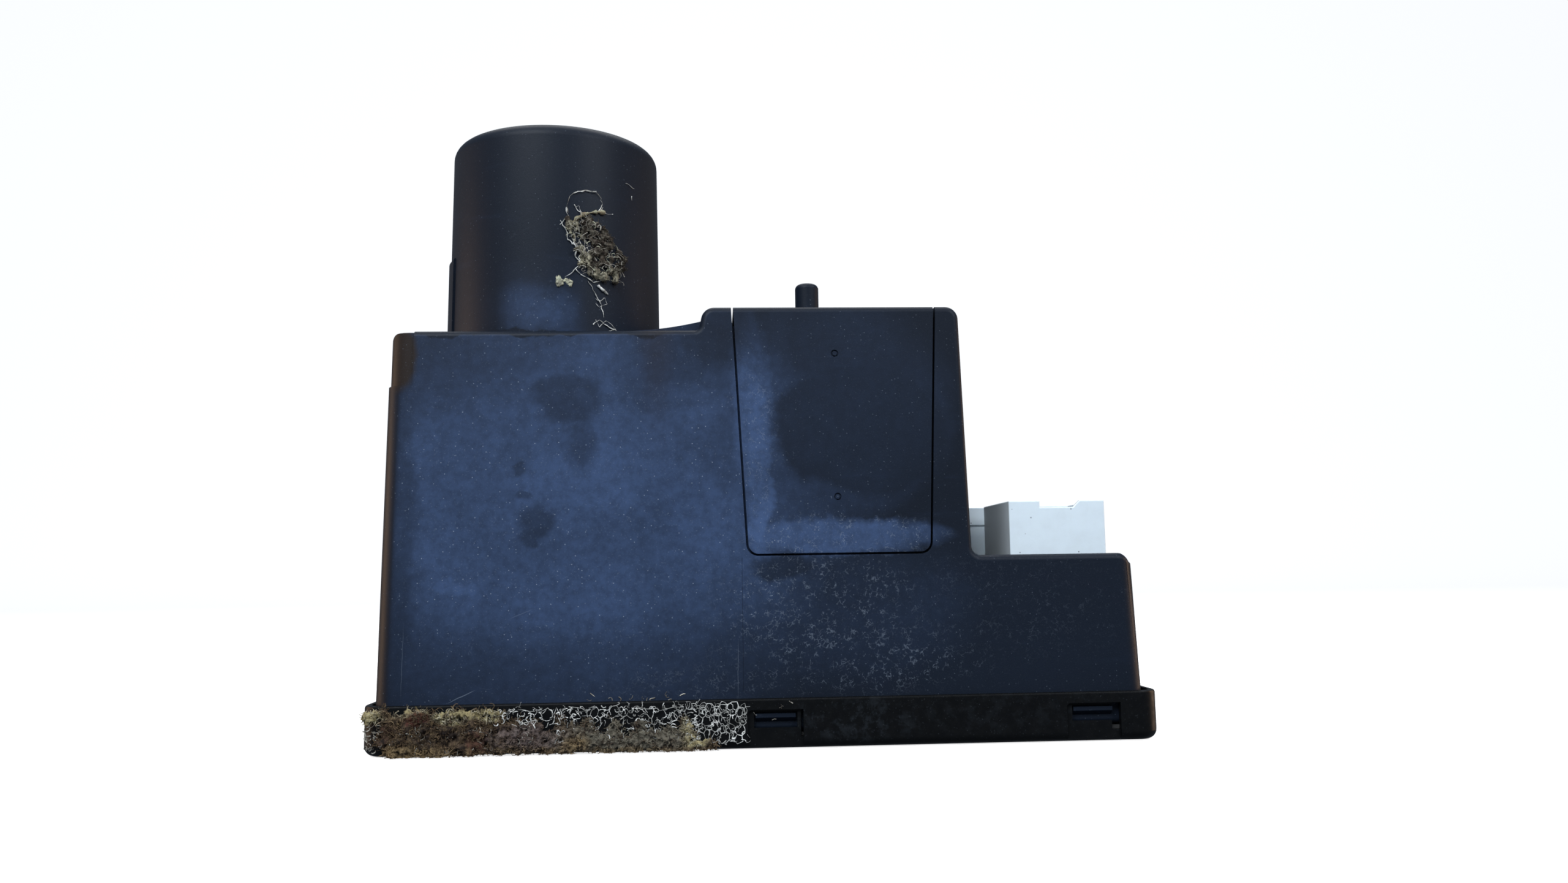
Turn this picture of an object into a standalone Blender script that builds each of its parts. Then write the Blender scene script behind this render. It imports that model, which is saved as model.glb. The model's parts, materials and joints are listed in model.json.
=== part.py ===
"""Central-locking air pump unit: a motor-driven vane pump, two solenoid valves and their control
board, inside a moulded housing that clips onto a base tray.

The origin is the centre of the tray's underside. +X runs from the motor turret to the plug sockets,
+Y from the front wall to the back wall, and +Z up through the turret. All sizes are in metres.
"""

from math import atan2, cos, degrees, hypot, pi, radians, sin, sqrt, tan

import bmesh
import bpy
from mathutils import Matrix, Vector

MM = 0.001
GAP = 0.3 * MM  # between pieces that rest on each other

# ---------------------------------------------------------------- driving dimensions
LENGTH = 200 * MM
DEPTH = 72 * MM
WALL = 2.4 * MM

TRAY_HEIGHT = 12.3 * MM
TRAY_WALL = 1.7 * MM
TRAY_CORNERS = (6.5 * MM, 5.5 * MM)  # seen from above, at the turret's end and the sockets' end

HOUSING_BOTTOM = 4.0 * MM
HOUSING_FRONT = 33.65 * MM  # half depth where the housing leaves the tray
SIDE_DRAFT = radians(1.45)
SEAT_TOP = 106.7 * MM  # the level that the turret stands on
TALL_TOP = 112.8 * MM
SHELF_TOP = 47.2 * MM
CASE_CORNERS = (6 * MM, 5 * MM)  # seen from above, at the turret's end and the sockets' end
LEFT_END = -98.0 * MM
RIGHT_END = 97.4 * MM
STEP_LEFT = -15.2 * MM  # left and right walls of the tall section
STEP_RIGHT = 54.7 * MM
EDGE_ROUND = 1.6 * MM

AXIS = Vector((-57.3 * MM, 0))  # motor and pump centre line
TURRET_TOP = 163.8 * MM
TURRET_RADIUS = 29.3 * MM  # at its foot
TURRET_DRAFT = radians(0.7)
TURRET_ROUND = 3.7 * MM

COVER_GAP = 0.55 * MM
COVER_BOTTOM = 48.3 * MM
COVER_LEFT = (-4.0 * MM, -7.4 * MM)  # at its foot and at its top
COVER_RIGHT = (42.6 * MM, 45.4 * MM)

BOARD_BOTTOM = 12.4 * MM
BOARD_TOP = 14.0 * MM
SOCKET_TOP = 61.4 * MM
SOCKET_FRONT = (65.2 * MM, 91.0 * MM, -25.0 * MM, 4.8 * MM)  # x0, x1, y0, y1
SOCKET_REAR = (57.6 * MM, 90.0 * MM, 9.4 * MM, 29.4 * MM)
SOCKET_WALL = 1.5 * MM
SOCKET_DEPTH = 15 * MM

VALVES = {"front": (13.1 * MM, -17 * MM), "rear": (15.8 * MM, 17 * MM)}  # centre lines
NIPPLE_RADIUS = 3.2 * MM
NIPPLE_TOP = 121.9 * MM

PUMP_FLOOR = 66.0 * MM  # underside of the pump chamber
PUMP_CHAMBER = 16.0 * MM  # its height
CHAMBER_RADIUS = 16.0 * MM
ROTOR_RADIUS = 14.0 * MM
ECCENTRIC = 1.5 * MM
SHAFT_RADIUS = 2.0 * MM
CAN_RADIUS = 22.0 * MM
CAN_BOTTOM = 93.0 * MM
CAN_TOP = 153.0 * MM

LATCHES = (-82.5 * MM, 2.1 * MM, 82.5 * MM)  # x of the latch windows along each long side


# ---------------------------------------------------------------- scene and materials
def clear_scene():
    for obj in list(bpy.data.objects):
        bpy.data.objects.remove(obj)


def finish(name, colour, roughness, metallic=0.0):
    material = bpy.data.materials.new(name)
    material.use_nodes = True
    shader = material.node_tree.nodes["Principled BSDF"]
    shader.inputs["Base Color"].default_value = (*colour, 1)
    shader.inputs["Roughness"].default_value = roughness
    shader.inputs["Metallic"].default_value = metallic
    return material


def make_materials():
    return {
        "case": finish("black_moulding", (0.016, 0.02, 0.03), 0.45),
        "tray": finish("black_tray", (0.01, 0.012, 0.015), 0.4),
        "socket": finish("white_socket", (0.72, 0.76, 0.78), 0.5),
        "inner": finish("grey_moulding", (0.12, 0.12, 0.125), 0.5),
        "rubber": finish("black_rubber", (0.02, 0.02, 0.02), 0.75),
        "steel": finish("zinc_steel", (0.62, 0.62, 0.6), 0.35, 1.0),
        "magnet": finish("ferrite", (0.06, 0.06, 0.065), 0.6),
        "lamination": finish("laminated_iron", (0.3, 0.29, 0.28), 0.45, 1.0),
        "copper": finish("enamelled_copper", (0.55, 0.22, 0.09), 0.35, 1.0),
        "carbon": finish("graphite", (0.035, 0.035, 0.04), 0.5),
        "bronze": finish("sintered_bronze", (0.45, 0.3, 0.12), 0.45, 1.0),
        "alloy": finish("die_cast_alloy", (0.5, 0.5, 0.52), 0.45, 1.0),
        "board": finish("green_laminate", (0.02, 0.13, 0.06), 0.45),
        "chip": finish("component_black", (0.03, 0.03, 0.032), 0.5),
        "sleeve": finish("capacitor_sleeve", (0.03, 0.05, 0.16), 0.4),
        "tin": finish("tinned_pin", (0.7, 0.69, 0.66), 0.3, 1.0),
        "foam": finish("filter_foam", (0.3, 0.28, 0.2), 0.95),
        "red": finish("red_lead", (0.45, 0.03, 0.02), 0.5),
        "black": finish("black_lead", (0.02, 0.02, 0.02), 0.5),
    }


# ---------------------------------------------------------------- shape helpers
def new_object(name, bm, material, location=(0, 0, 0)):
    """A named object from a bmesh in local coordinates, with round stretches shaded smooth."""
    bmesh.ops.recalc_face_normals(bm, faces=bm.faces)
    mesh = bpy.data.meshes.new(name)
    bm.to_mesh(mesh)
    bm.free()
    mesh.materials.append(material)
    mesh.shade_smooth()
    mesh.set_sharp_from_angle(angle=radians(35))
    obj = bpy.data.objects.new(name, mesh)
    obj.location = location
    bpy.context.scene.collection.objects.link(obj)
    return obj


def loft(rings, bm=None):
    """A closed solid through rings of equal length, capped at both ends."""
    bm = bm or bmesh.new()
    rows = [[bm.verts.new(point) for point in ring] for ring in rings]
    count = len(rows[0])
    for low, high in zip(rows, rows[1:]):
        for i in range(count):
            j = (i + 1) % count
            bm.faces.new((low[i], low[j], high[j], high[i]))
    bm.faces.new(list(reversed(rows[0])))
    bm.faces.new(rows[-1])
    return bm


def turned(profile, sides):
    """A ring turned about local Z from a closed profile of (radius, z) points."""
    bm = bmesh.new()
    columns = []
    for i in range(sides):
        angle = 2 * pi * i / sides
        columns.append([bm.verts.new((r * cos(angle), r * sin(angle), z)) for r, z in profile])
    for i in range(sides):
        here, there = columns[i], columns[(i + 1) % sides]
        for k in range(len(profile)):
            n = (k + 1) % len(profile)
            bm.faces.new((here[k], there[k], there[n], here[n]))
    return bm


def stack(levels, sides, centre=(0, 0)):
    """A solid of round sections, from (radius, z) levels."""
    turns = [2 * pi * i / sides for i in range(sides)]
    x, y = centre
    return loft([[Vector((x + r * cos(a), y + r * sin(a), z)) for a in turns] for r, z in levels])


def tube_levels(outer, inner, low, high):
    return [(outer, low), (outer, high), (inner, high), (inner, low)]


def box_mesh(x0, x1, y0, y1, z0, z1):
    rings = [[Vector(p) for p in ((x0, y0, z), (x1, y0, z), (x1, y1, z), (x0, y1, z))] for z in (z0, z1)]
    return loft(rings)


def filleted(corners, steps=4):
    """A closed outline in a plane from (u, v, radius) corners, each rounded by an arc."""
    outline = []
    count = len(corners)
    for i, (u, v, radius) in enumerate(corners):
        here = Vector((u, v))
        back = (Vector(corners[i - 1][:2]) - here).normalized()
        ahead = (Vector(corners[(i + 1) % count][:2]) - here).normalized()
        if radius <= 0:
            outline.append(here)
            continue
        half = back.angle(ahead) / 2
        centre = here + (back + ahead).normalized() * (radius / sin(half))
        start = here + back * (radius / tan(half)) - centre
        end = here + ahead * (radius / tan(half)) - centre
        begin = atan2(start.y, start.x)
        sweep = (atan2(end.y, end.x) - begin + pi) % (2 * pi) - pi
        for k in range(steps + 1):
            angle = begin + sweep * k / steps
            outline.append(centre + Vector((cos(angle), sin(angle))) * radius)
    return outline


def plan_ring(x0, x1, half_depth, left_radius, right_radius, z, steps=4):
    """A rounded rectangle seen from above, symmetric front to back."""
    corners = [
        (x0, -half_depth, left_radius),
        (x1, -half_depth, right_radius),
        (x1, half_depth, right_radius),
        (x0, half_depth, left_radius),
    ]
    return [Vector((p.x, p.y, z)) for p in filleted(corners, steps)]


def plate(outline, y0, y1):
    """A solid from an outline of (x, z) points, pushed from y0 to y1."""
    return loft([[Vector((p.x, y, p.y)) for p in outline] for y in (y0, y1)])


def combine(obj, bm, operation, solver="EXACT"):
    """Joins a helper shape to an object or cuts it away, and discards the helper."""
    helper = new_object(obj.name + "_helper", bm, obj.data.materials[0])
    helper.hide_render = True
    helper.display_type = "WIRE"
    bpy.context.view_layer.update()
    modifier = obj.modifiers.new(operation.lower(), "BOOLEAN")
    modifier.operation = operation
    modifier.object = helper
    modifier.solver = solver
    graph = bpy.context.evaluated_depsgraph_get()
    mesh = bpy.data.meshes.new_from_object(obj.evaluated_get(graph))
    obj.modifiers.clear()
    obj.data = mesh
    bpy.data.objects.remove(helper)
    return obj


def cut(obj, bm):
    return combine(obj, bm, "DIFFERENCE")


def join(obj, bm):
    return combine(obj, bm, "UNION")


def taken(obj):
    """An object's mesh as a bmesh, with the object itself discarded."""
    bm = bmesh.new()
    bm.from_mesh(obj.data)
    bpy.data.objects.remove(obj)
    return bm


def moved(bm, offset):
    bmesh.ops.translate(bm, vec=Vector(offset), verts=bm.verts)
    return bm


def tube_along(name, points, radius, material):
    """A flexible tube on a smooth curve through its route's points."""
    count = 4 * (len(points) - 1) + 1
    curve = bpy.data.curves.new(name, "CURVE")
    curve.dimensions = "3D"
    curve.bevel_depth = radius
    curve.bevel_resolution = 1
    curve.use_fill_caps = True
    spline = curve.splines.new("POLY")
    spline.points.add(count - 1)
    ends = [2 * points[0] - points[1], *points, 2 * points[-1] - points[-2]]
    for i in range(count):
        span = min(i // 4, len(points) - 2)
        t = i / 4 - span
        a, b, c, d = ends[span : span + 4]
        smooth = 2 * b + (c - a) * t + (2 * a - 5 * b + 4 * c - d) * t**2 + (3 * b - a - 3 * c + d) * t**3
        spline.points[i].co = (*(smooth / 2), 1)
    curve.materials.append(material)
    obj = bpy.data.objects.new(name, curve)
    bpy.context.scene.collection.objects.link(obj)
    return obj


# ---------------------------------------------------------------- housing
def half_depth(z):
    """Half the housing's depth at a height: its front and back walls lean in."""
    return HOUSING_FRONT - (z - TRAY_HEIGHT) * tan(SIDE_DRAFT)


def left_wall(z):
    return LEFT_END + z * tan(radians(0.8))


def right_wall(z):
    return RIGHT_END - z * tan(radians(1.7))


def step_wall(z):
    return STEP_RIGHT - z * tan(radians(1.35))


def front_outline(inset, low):
    """The stepped silhouette seen from the front, moved inwards by inset."""
    seat, tall, shelf = (z - inset for z in (SEAT_TOP, TALL_TOP, SHELF_TOP))
    left, step, right = (max(r - inset, 0.6 * MM) for r in (3.2 * MM, 3.4 * MM, 4.6 * MM))
    corners = [
        (left_wall(low) + inset, low, 0),
        (right_wall(low) - inset, low, 0),
        (right_wall(shelf) - inset, shelf, right),
        (step_wall(shelf) - inset, shelf, 2.4 * MM + inset),
        (step_wall(tall) - inset, tall, step),
        (STEP_LEFT + inset, tall, step),
        (STEP_LEFT - 1.2 * MM + inset, seat, 1.4 * MM + inset / 2),
        (left_wall(seat) + inset, seat, left),
    ]
    return filleted(corners)


def housing_block(inset, low):
    """The stepped silhouette and the rounded plan together: a solid inset from the outside."""
    reach = half_depth(0) + 5 * MM
    bm = plate(front_outline(inset, low), -reach, reach)
    block = new_object("housing", bm, MATERIALS["case"])
    levels = (low - 1 * MM, SHELF_TOP, TALL_TOP + 1 * MM)
    rings = [
        plan_ring(
            left_wall(z) + inset,
            right_wall(min(z, SHELF_TOP)) - inset,
            half_depth(z) - inset,
            CASE_CORNERS[0] - inset,
            CASE_CORNERS[1] - inset,
            z,
            5,
        )
        for z in levels
    ]
    return combine(block, loft(rings), "INTERSECT")


def round_edges(obj, width, segments):
    """Rounds the edges where the walls meet the tops."""
    modifier = obj.modifiers.new("rounding", "BEVEL")
    modifier.width = width
    modifier.segments = segments
    modifier.limit_method = "ANGLE"
    modifier.angle_limit = radians(40)
    modifier.use_clamp_overlap = False
    graph = bpy.context.evaluated_depsgraph_get()
    mesh = bpy.data.meshes.new_from_object(obj.evaluated_get(graph))
    obj.modifiers.clear()
    obj.data = mesh


def turret_radius(z):
    return TURRET_RADIUS - (z - SEAT_TOP) * tan(TURRET_DRAFT)


def turret_levels(inset, low, high, rounding):
    levels = [(turret_radius(low) - inset, low)]
    edge = turret_radius(high) - inset
    for k in range(5):
        angle = pi / 2 * k / 4
        levels.append((edge - rounding * (1 - cos(angle)), high - rounding * (1 - sin(angle))))
    return levels


def cover_outline(grow):
    """The valve cover's front outline, drawn larger by grow for the opening that it sits in."""
    top = TALL_TOP + 2 * MM
    lean_left = (COVER_LEFT[1] - COVER_LEFT[0]) / (TALL_TOP - COVER_BOTTOM)
    lean_right = (COVER_RIGHT[1] - COVER_RIGHT[0]) / (TALL_TOP - COVER_BOTTOM)
    rise = top - COVER_BOTTOM
    corners = [
        (COVER_LEFT[0] - grow, COVER_BOTTOM - grow, 2.6 * MM + grow),
        (COVER_RIGHT[0] + grow, COVER_BOTTOM - grow, 2.6 * MM + grow),
        (COVER_RIGHT[0] + lean_right * rise + grow, top, 0),
        (COVER_LEFT[0] + lean_left * rise - grow, top, 0),
    ]
    return filleted(corners, 3)


def turret_pad():
    """The thicker strip low on the turret's left side, where the motor's leads run down."""
    outer = turret_radius(SEAT_TOP) + 0.6 * MM
    inner = outer - 2 * MM
    turns = [radians(180 - 28 + 56 * i / 8) for i in range(9)]
    ring = [(outer, a) for a in turns] + [(inner, a) for a in reversed(turns)]
    rings = []
    for z, drop in ((SEAT_TOP - 1 * MM, 0), (130.4 * MM, 0.3 * MM)):
        rings.append([Vector((AXIS.x + (r - drop) * cos(a), (r - drop) * sin(a), z)) for r, a in ring])
    return loft(rings)


def corner_relief(side):
    """The shallow relief round the top of a left corner, as a shape to cut away."""
    near, far = sorted((side * 14 * MM, side * 40 * MM))
    relief = new_object("relief", box_mesh(-99 * MM, -89.4 * MM, near, far, 92.4 * MM, SEAT_TOP + 1 * MM), MATERIALS["case"])
    return taken(cut(relief, taken(housing_block(0.5 * MM, HOUSING_BOTTOM))))


def web_outline():
    """The air duct's curved top between the turret and the tall section."""
    start, end = -38 * MM, STEP_LEFT + 2.5 * MM
    top = [
        Vector((start + (end - start) * t, 108.8 * MM + 3.4 * MM * t**2))
        for t in (0, 0.2, 0.4, 0.6, 0.8, 1)
    ]
    return [Vector((end, 104 * MM)), *reversed(top), Vector((start, 104 * MM))]


def latch_hook(x, side):
    """A wedge on the housing's rim that catches in a tray window."""
    inner, outer = half_depth(8 * MM) - 1.2 * MM, DEPTH / 2 - 0.9 * MM
    half = 5.0 * MM
    section = [(inner, 5.4 * MM), (inner, 8.8 * MM), (outer, 8.6 * MM), (outer, 7.6 * MM)]
    if side < 0:
        section = [(-y, z) for y, z in reversed(section)]
    rings = [[Vector((x + dx, y, z)) for y, z in section] for dx in (-half, half)]
    return loft(rings)


def make_housing():
    housing = housing_block(0, HOUSING_BOTTOM)
    # the walls stay sharp at the open bottom, which the tray hides
    round_edges(housing, EDGE_ROUND, 2)
    join(housing, plate(web_outline(), -19 * MM, 19 * MM))
    turret = turret_levels(0, SEAT_TOP - 6 * MM, TURRET_TOP, TURRET_ROUND)
    join(housing, stack(turret, 64, AXIS))
    join(housing, turret_pad())
    for side in (-1, 1):
        combine(housing, corner_relief(side), "DIFFERENCE", "MANIFOLD")
    cut(housing, taken(housing_block(WALL, HOUSING_BOTTOM - 3 * MM)))
    inside = turret_levels(WALL, SEAT_TOP - 8 * MM, TURRET_TOP - WALL, TURRET_ROUND - 1.5 * MM)
    cut(housing, stack(inside, 48, AXIS))
    for side in (-1, 1):
        for x in LATCHES:
            join(housing, latch_hook(x, side))
    reach = DEPTH
    cut(housing, plate(cover_outline(COVER_GAP), -reach, reach))
    for x0, x1, y0, y1 in (SOCKET_FRONT, SOCKET_REAR):
        cut(housing, box_mesh(x0 - GAP, x1 + GAP, y0 - GAP, y1 + GAP, SHELF_TOP - 6 * MM, SHELF_TOP + 3 * MM))
    housing.name = "housing"
    return housing


# ---------------------------------------------------------------- base tray
def tray_ring(inset, z):
    left, right = (max(radius - inset, 1 * MM) for radius in TRAY_CORNERS)
    return plan_ring(-LENGTH / 2 + inset, LENGTH / 2 - inset, DEPTH / 2 - inset, left, right, z, 5)


def tray_boss(x, y):
    """A post with a peg on top that stands through a hole in the board."""
    levels = [(3.4 * MM, 1.5 * MM), (3.4 * MM, BOARD_BOTTOM - 0.2 * MM), (1.3 * MM, BOARD_BOTTOM - 0.2 * MM)]
    levels += [(1.3 * MM, BOARD_TOP + 0.6 * MM), (0.9 * MM, BOARD_TOP + 1.2 * MM)]
    return stack(levels, 16, (x, y))


BOARD = (-28 * MM, 93 * MM, -29.5 * MM, 30.5 * MM)
BOARD_HOLES = [(x, y) for x in (-24 * MM, 52 * MM) for y in (-24.5 * MM, 25.5 * MM)]


def make_tray():
    rounding = 2.4 * MM
    rings = []
    for k in range(4):
        angle = pi / 2 * k / 3
        rings.append(tray_ring(rounding * (1 - sin(angle)), rounding * (1 - cos(angle))))
    rings.append(tray_ring(0, TRAY_HEIGHT - 0.7 * MM))
    rings.append(tray_ring(0.5 * MM, TRAY_HEIGHT))
    tray = new_object("base_tray", loft(rings), MATERIALS["tray"])
    inner = [tray_ring(TRAY_WALL, z) for z in (TRAY_WALL, TRAY_HEIGHT + 1 * MM)]
    cut(tray, loft(inner))
    for side in (-1, 1):
        for x in LATCHES:
            end = abs(x) > 50 * MM
            outer = side * DEPTH / 2
            low, high = sorted((outer + side * MM, outer - side * 0.7 * MM))
            cut(tray, box_mesh(x - 6.9 * MM, x + 6.9 * MM, low, high, -1 * MM, 9.6 * MM))
            low, high = sorted((outer + side * MM, outer - side * 3 * MM))
            cut(tray, box_mesh(x - 5.4 * MM, x + 5.4 * MM, low, high, 5.1 * MM, 9.1 * MM))
            slot = 2.2 * MM if end else 0.6 * MM
            edge = x + 6.9 * MM - slot if x > 0 else x - 6.9 * MM
            cut(tray, box_mesh(edge, edge + slot, low, high, 2.9 * MM, 9.6 * MM))
    for x, y in BOARD_HOLES:
        join(tray, tray_boss(x, y))
    join(tray, stack([(11 * MM, 1.5 * MM), (9 * MM, 46 * MM)], 20, AXIS))
    tray.name = "base_tray"
    return tray


def make_seal():
    """The rubber frame between the housing's rim and the tray's floor."""
    low, high = TRAY_WALL + GAP, HOUSING_BOTTOM - GAP
    outer = [tray_ring(TRAY_WALL + GAP, z) for z in (low, high)]
    seal = new_object("tray_seal", loft(outer), MATERIALS["rubber"])
    inner = [tray_ring(TRAY_WALL + 2.6 * MM, z) for z in (low - 1 * MM, high + 1 * MM)]
    return cut(seal, loft(inner))


# ---------------------------------------------------------------- valve cover and valves
def make_valve_cover():
    """A saddle that closes the tall section: a front plate, a top plate and a back plate."""
    cover = housing_block(0, HOUSING_BOTTOM)
    round_edges(cover, EDGE_ROUND, 2)
    combine(cover, plate(cover_outline(0), -DEPTH, DEPTH), "INTERSECT")
    cover.name = "valve_cover"
    cut(cover, taken(housing_block(WALL, HOUSING_BOTTOM)))
    for centre in VALVES.values():
        cut(cover, stack([(NIPPLE_RADIUS + GAP, 105 * MM), (NIPPLE_RADIUS + GAP, 118 * MM)], 20, centre))
    for z in (62.7 * MM, 100.2 * MM):
        cut(cover, ejector_mark(19 * MM, z))
    return cover


def ejector_mark(x, z):
    """A shallow ring pressed into the front plate."""
    bm = turned(tube_levels(1.35 * MM, 0.95 * MM, -0.35 * MM, 1 * MM), 16)
    turn = Matrix.Rotation(pi / 2, 4, "X")
    bmesh.ops.transform(bm, matrix=turn, verts=bm.verts)
    return moved(bm, (x, -half_depth(z), z))


def make_manifold():
    """The block under both valves, with a nozzle for each and a barb for the pump's hose."""
    reach = half_depth(VALVE_BASE) - WALL - GAP
    block = box_mesh(-2 * MM, 40 * MM, -reach, reach, 50 * MM, VALVE_BASE - GAP)
    manifold = new_object("valve_manifold", block, MATERIALS["inner"])
    for centre in VALVES.values():
        join(manifold, stack([(3.0 * MM, VALVE_BASE - 1 * MM), (2.2 * MM, VALVE_BASE + 1 * MM)], 20, centre))
        cut(manifold, stack([(0.9 * MM, 57 * MM), (0.9 * MM, VALVE_BASE + 2 * MM)], 12, centre))
    barb = turned(tube_levels(2.6 * MM, 1.5 * MM, -9 * MM, 1 * MM), 20)
    bmesh.ops.transform(barb, matrix=Matrix.Rotation(pi / 2, 4, "Y"), verts=barb.verts)
    join(manifold, moved(barb, (-1.5 * MM, 0, 54.5 * MM)))
    return manifold


VALVE_BASE = 62.6 * MM  # underside of a valve's yoke
VALVE_LID = 99.0 * MM  # top of a valve's yoke
PLUNGER_RADIUS = 3.6 * MM
PLUNGER_STROKE = 1.6 * MM
COIL_RADIUS = 9.2 * MM


def make_valve(name, centre):
    place = (*centre, 0)
    sheet = 1.5 * MM
    yoke = new_object(
        "valve_yoke_" + name,
        box_mesh(-11.5 * MM, 11.5 * MM, -8 * MM, 8 * MM, VALVE_BASE, VALVE_LID),
        MATERIALS["steel"],
        place,
    )
    bpy.context.view_layer.update()
    window = box_mesh(-11.5 * MM + sheet, 11.5 * MM - sheet, -9 * MM, 9 * MM, VALVE_BASE + sheet, VALVE_LID - sheet)
    cut(yoke, moved(window, place))
    bore = stack([(PLUNGER_RADIUS + 0.9 * MM, VALVE_BASE - 5 * MM), (PLUNGER_RADIUS + 0.9 * MM, VALVE_LID + 5 * MM)], 24)
    cut(yoke, moved(bore, place))

    low, high = VALVE_BASE + sheet + GAP, VALVE_LID - sheet - GAP
    flange, core, tube = COIL_RADIUS, 7.6 * MM, 4.0 * MM
    spool = [
        (tube, low), (flange, low), (flange, low + 1.4 * MM), (core, low + 1.4 * MM),
        (core, high - 1.4 * MM), (flange, high - 1.4 * MM), (flange, high), (tube, high),
    ]
    new_object("valve_coil_" + name, turned(spool, 24), MATERIALS["copper"], place)

    middle = 80 * MM
    shank, bore_radius = PLUNGER_RADIUS, 1.3 * MM
    tip = 1.4 * MM
    head = [
        (bore_radius, middle), (shank, middle), (shank, VALVE_LID + 0.4 * MM),
        (6.6 * MM, VALVE_LID + 0.4 * MM), (6.6 * MM, TALL_TOP - WALL - 0.4 * MM),
        (NIPPLE_RADIUS, TALL_TOP - WALL - 0.4 * MM), (NIPPLE_RADIUS, NIPPLE_TOP - tip),
    ]
    for k in (1, 2, 3):
        angle = pi / 2 * k / 3
        head.append((NIPPLE_RADIUS - tip * (1 - cos(angle)), NIPPLE_TOP - tip * (1 - sin(angle))))
    head.append((bore_radius, NIPPLE_TOP))
    new_object("valve_nipple_" + name, turned(head, 20), MATERIALS["case"], place)

    bottom, top = VALVE_BASE + 1.2 * MM, middle - PLUNGER_STROKE - 0.2 * MM
    neck = 2.3 * MM
    plunger = [
        (PLUNGER_RADIUS, bottom), (PLUNGER_RADIUS, bottom + 1.5 * MM), (PLUNGER_RADIUS, top - 7 * MM),
        (neck, top - 7 * MM), (neck, top),
    ]
    new_object("valve_plunger_" + name, stack(plunger, 24), MATERIALS["steel"], place)
    make_spring("valve_spring_" + name, place, top - 6.7 * MM, middle - GAP)


def make_spring(name, place, low, high):
    """A round-wire compression spring, as a tube along a helix."""
    turns, sides, steps = 4, 5, 9
    wire, radius = 0.28 * MM, 2.85 * MM
    rings = []
    for i in range(turns * steps + 1):
        angle = 2 * pi * i / steps
        z = low + wire + (high - low - 2 * wire) * i / (turns * steps)
        out = Vector((cos(angle), sin(angle), 0))
        rings.append([out * (radius + wire * cos(2 * pi * k / sides)) + Vector((0, 0, z + wire * sin(2 * pi * k / sides))) for k in range(sides)])
    return new_object(name, loft(rings), MATERIALS["tin"], place)


# ---------------------------------------------------------------- motor and pump
def on_axis(name, bm, material):
    """An object whose origin is on the motor's axis."""
    return new_object(name, bm, MATERIALS[material], (AXIS.x, 0, 0))


def sector(inner, outer, centre, width, low, high, steps):
    """A thick arc about local Z, such as a magnet."""
    turns = [centre - width / 2 + width * i / steps for i in range(steps + 1)]
    ring = [(outer, a) for a in turns] + [(inner, a) for a in reversed(turns)]
    return loft([[Vector((r * cos(a), r * sin(a), z)) for r, a in ring] for z in (low, high)])


def make_motor():
    wall = 1.4 * MM
    boss = 6.5 * MM
    can = [
        (CAN_RADIUS, CAN_BOTTOM), (CAN_RADIUS, CAN_TOP - 2 * MM), (CAN_RADIUS - 2 * MM, CAN_TOP),
        (boss, CAN_TOP), (boss, CAN_TOP + 3.4 * MM), (4.9 * MM, CAN_TOP + 3.4 * MM),
        (4.9 * MM, CAN_TOP - wall), (CAN_RADIUS - wall - 1 * MM, CAN_TOP - wall),
        (CAN_RADIUS - wall, CAN_TOP - wall - 1 * MM), (CAN_RADIUS - wall, CAN_BOTTOM),
    ]
    on_axis("motor_can", turned(can, 32), "steel")
    inner = CAN_RADIUS - wall - GAP
    for name, angle in (("front", -pi / 2), ("rear", pi / 2)):
        magnet = sector(inner - 3.6 * MM, inner, angle, radians(130), 106 * MM, 148 * MM, 8)
        on_axis("motor_magnet_" + name, magnet, "magnet")

    bearing = tube_levels(4.6 * MM, SHAFT_RADIUS + 0.06 * MM, CAN_TOP - 3 * MM, CAN_TOP + 3 * MM)
    on_axis("upper_bearing", turned(bearing, 24), "bronze")
    on_axis("motor_shaft", stack([(SHAFT_RADIUS, 64 * MM), (SHAFT_RADIUS, CAN_TOP + 2.6 * MM)], 20), "steel")

    core = on_axis("armature_core", turned(tube_levels(15.6 * MM, 2.2 * MM, 111 * MM, 141 * MM), 30), "lamination")
    for i in range(5):
        slot = box_mesh(8.5 * MM, 17 * MM, -1.1 * MM, 1.1 * MM, 110 * MM, 142 * MM)
        bmesh.ops.rotate(slot, cent=(0, 0, 0), matrix=Matrix.Rotation(2 * pi * i / 5, 3, "Z"), verts=slot.verts)
        cut(core, moved(slot, (AXIS.x, 0, 0)))
    for name, low, high in (("lower", 106.4 * MM, 110.7 * MM), ("upper", 141.3 * MM, 145.6 * MM)):
        edge = 1.2 * MM
        winding = [
            (2.3 * MM, low), (14 * MM, low), (15 * MM, low + edge), (15 * MM, high - edge), (14 * MM, high), (2.3 * MM, high),
        ]
        on_axis("winding_" + name, turned(winding, 24), "copper")
    on_axis("commutator", turned(tube_levels(5.2 * MM, 2.3 * MM, 98.4 * MM, 105.4 * MM), 24), "copper")

    end = [
        (4.8 * MM, 91.6 * MM), (CAN_RADIUS - wall - GAP, 91.6 * MM), (CAN_RADIUS - wall - GAP, 96.4 * MM), (4.8 * MM, 96.4 * MM),
    ]
    on_axis("brush_plate", turned(end, 32), "inner")
    lower = tube_levels(4.5 * MM, SHAFT_RADIUS + 0.06 * MM, 91 * MM, 97 * MM)
    on_axis("lower_bearing", turned(lower, 24), "bronze")
    for name, sign in (("left", -1), ("right", 1)):
        near, far = sorted((sign * 5.5 * MM, sign * 13 * MM))
        brush = box_mesh(near, far, -2.2 * MM, 2.2 * MM, 99.2 * MM, 104.4 * MM)
        on_axis("brush_" + name, brush, "carbon")


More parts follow.
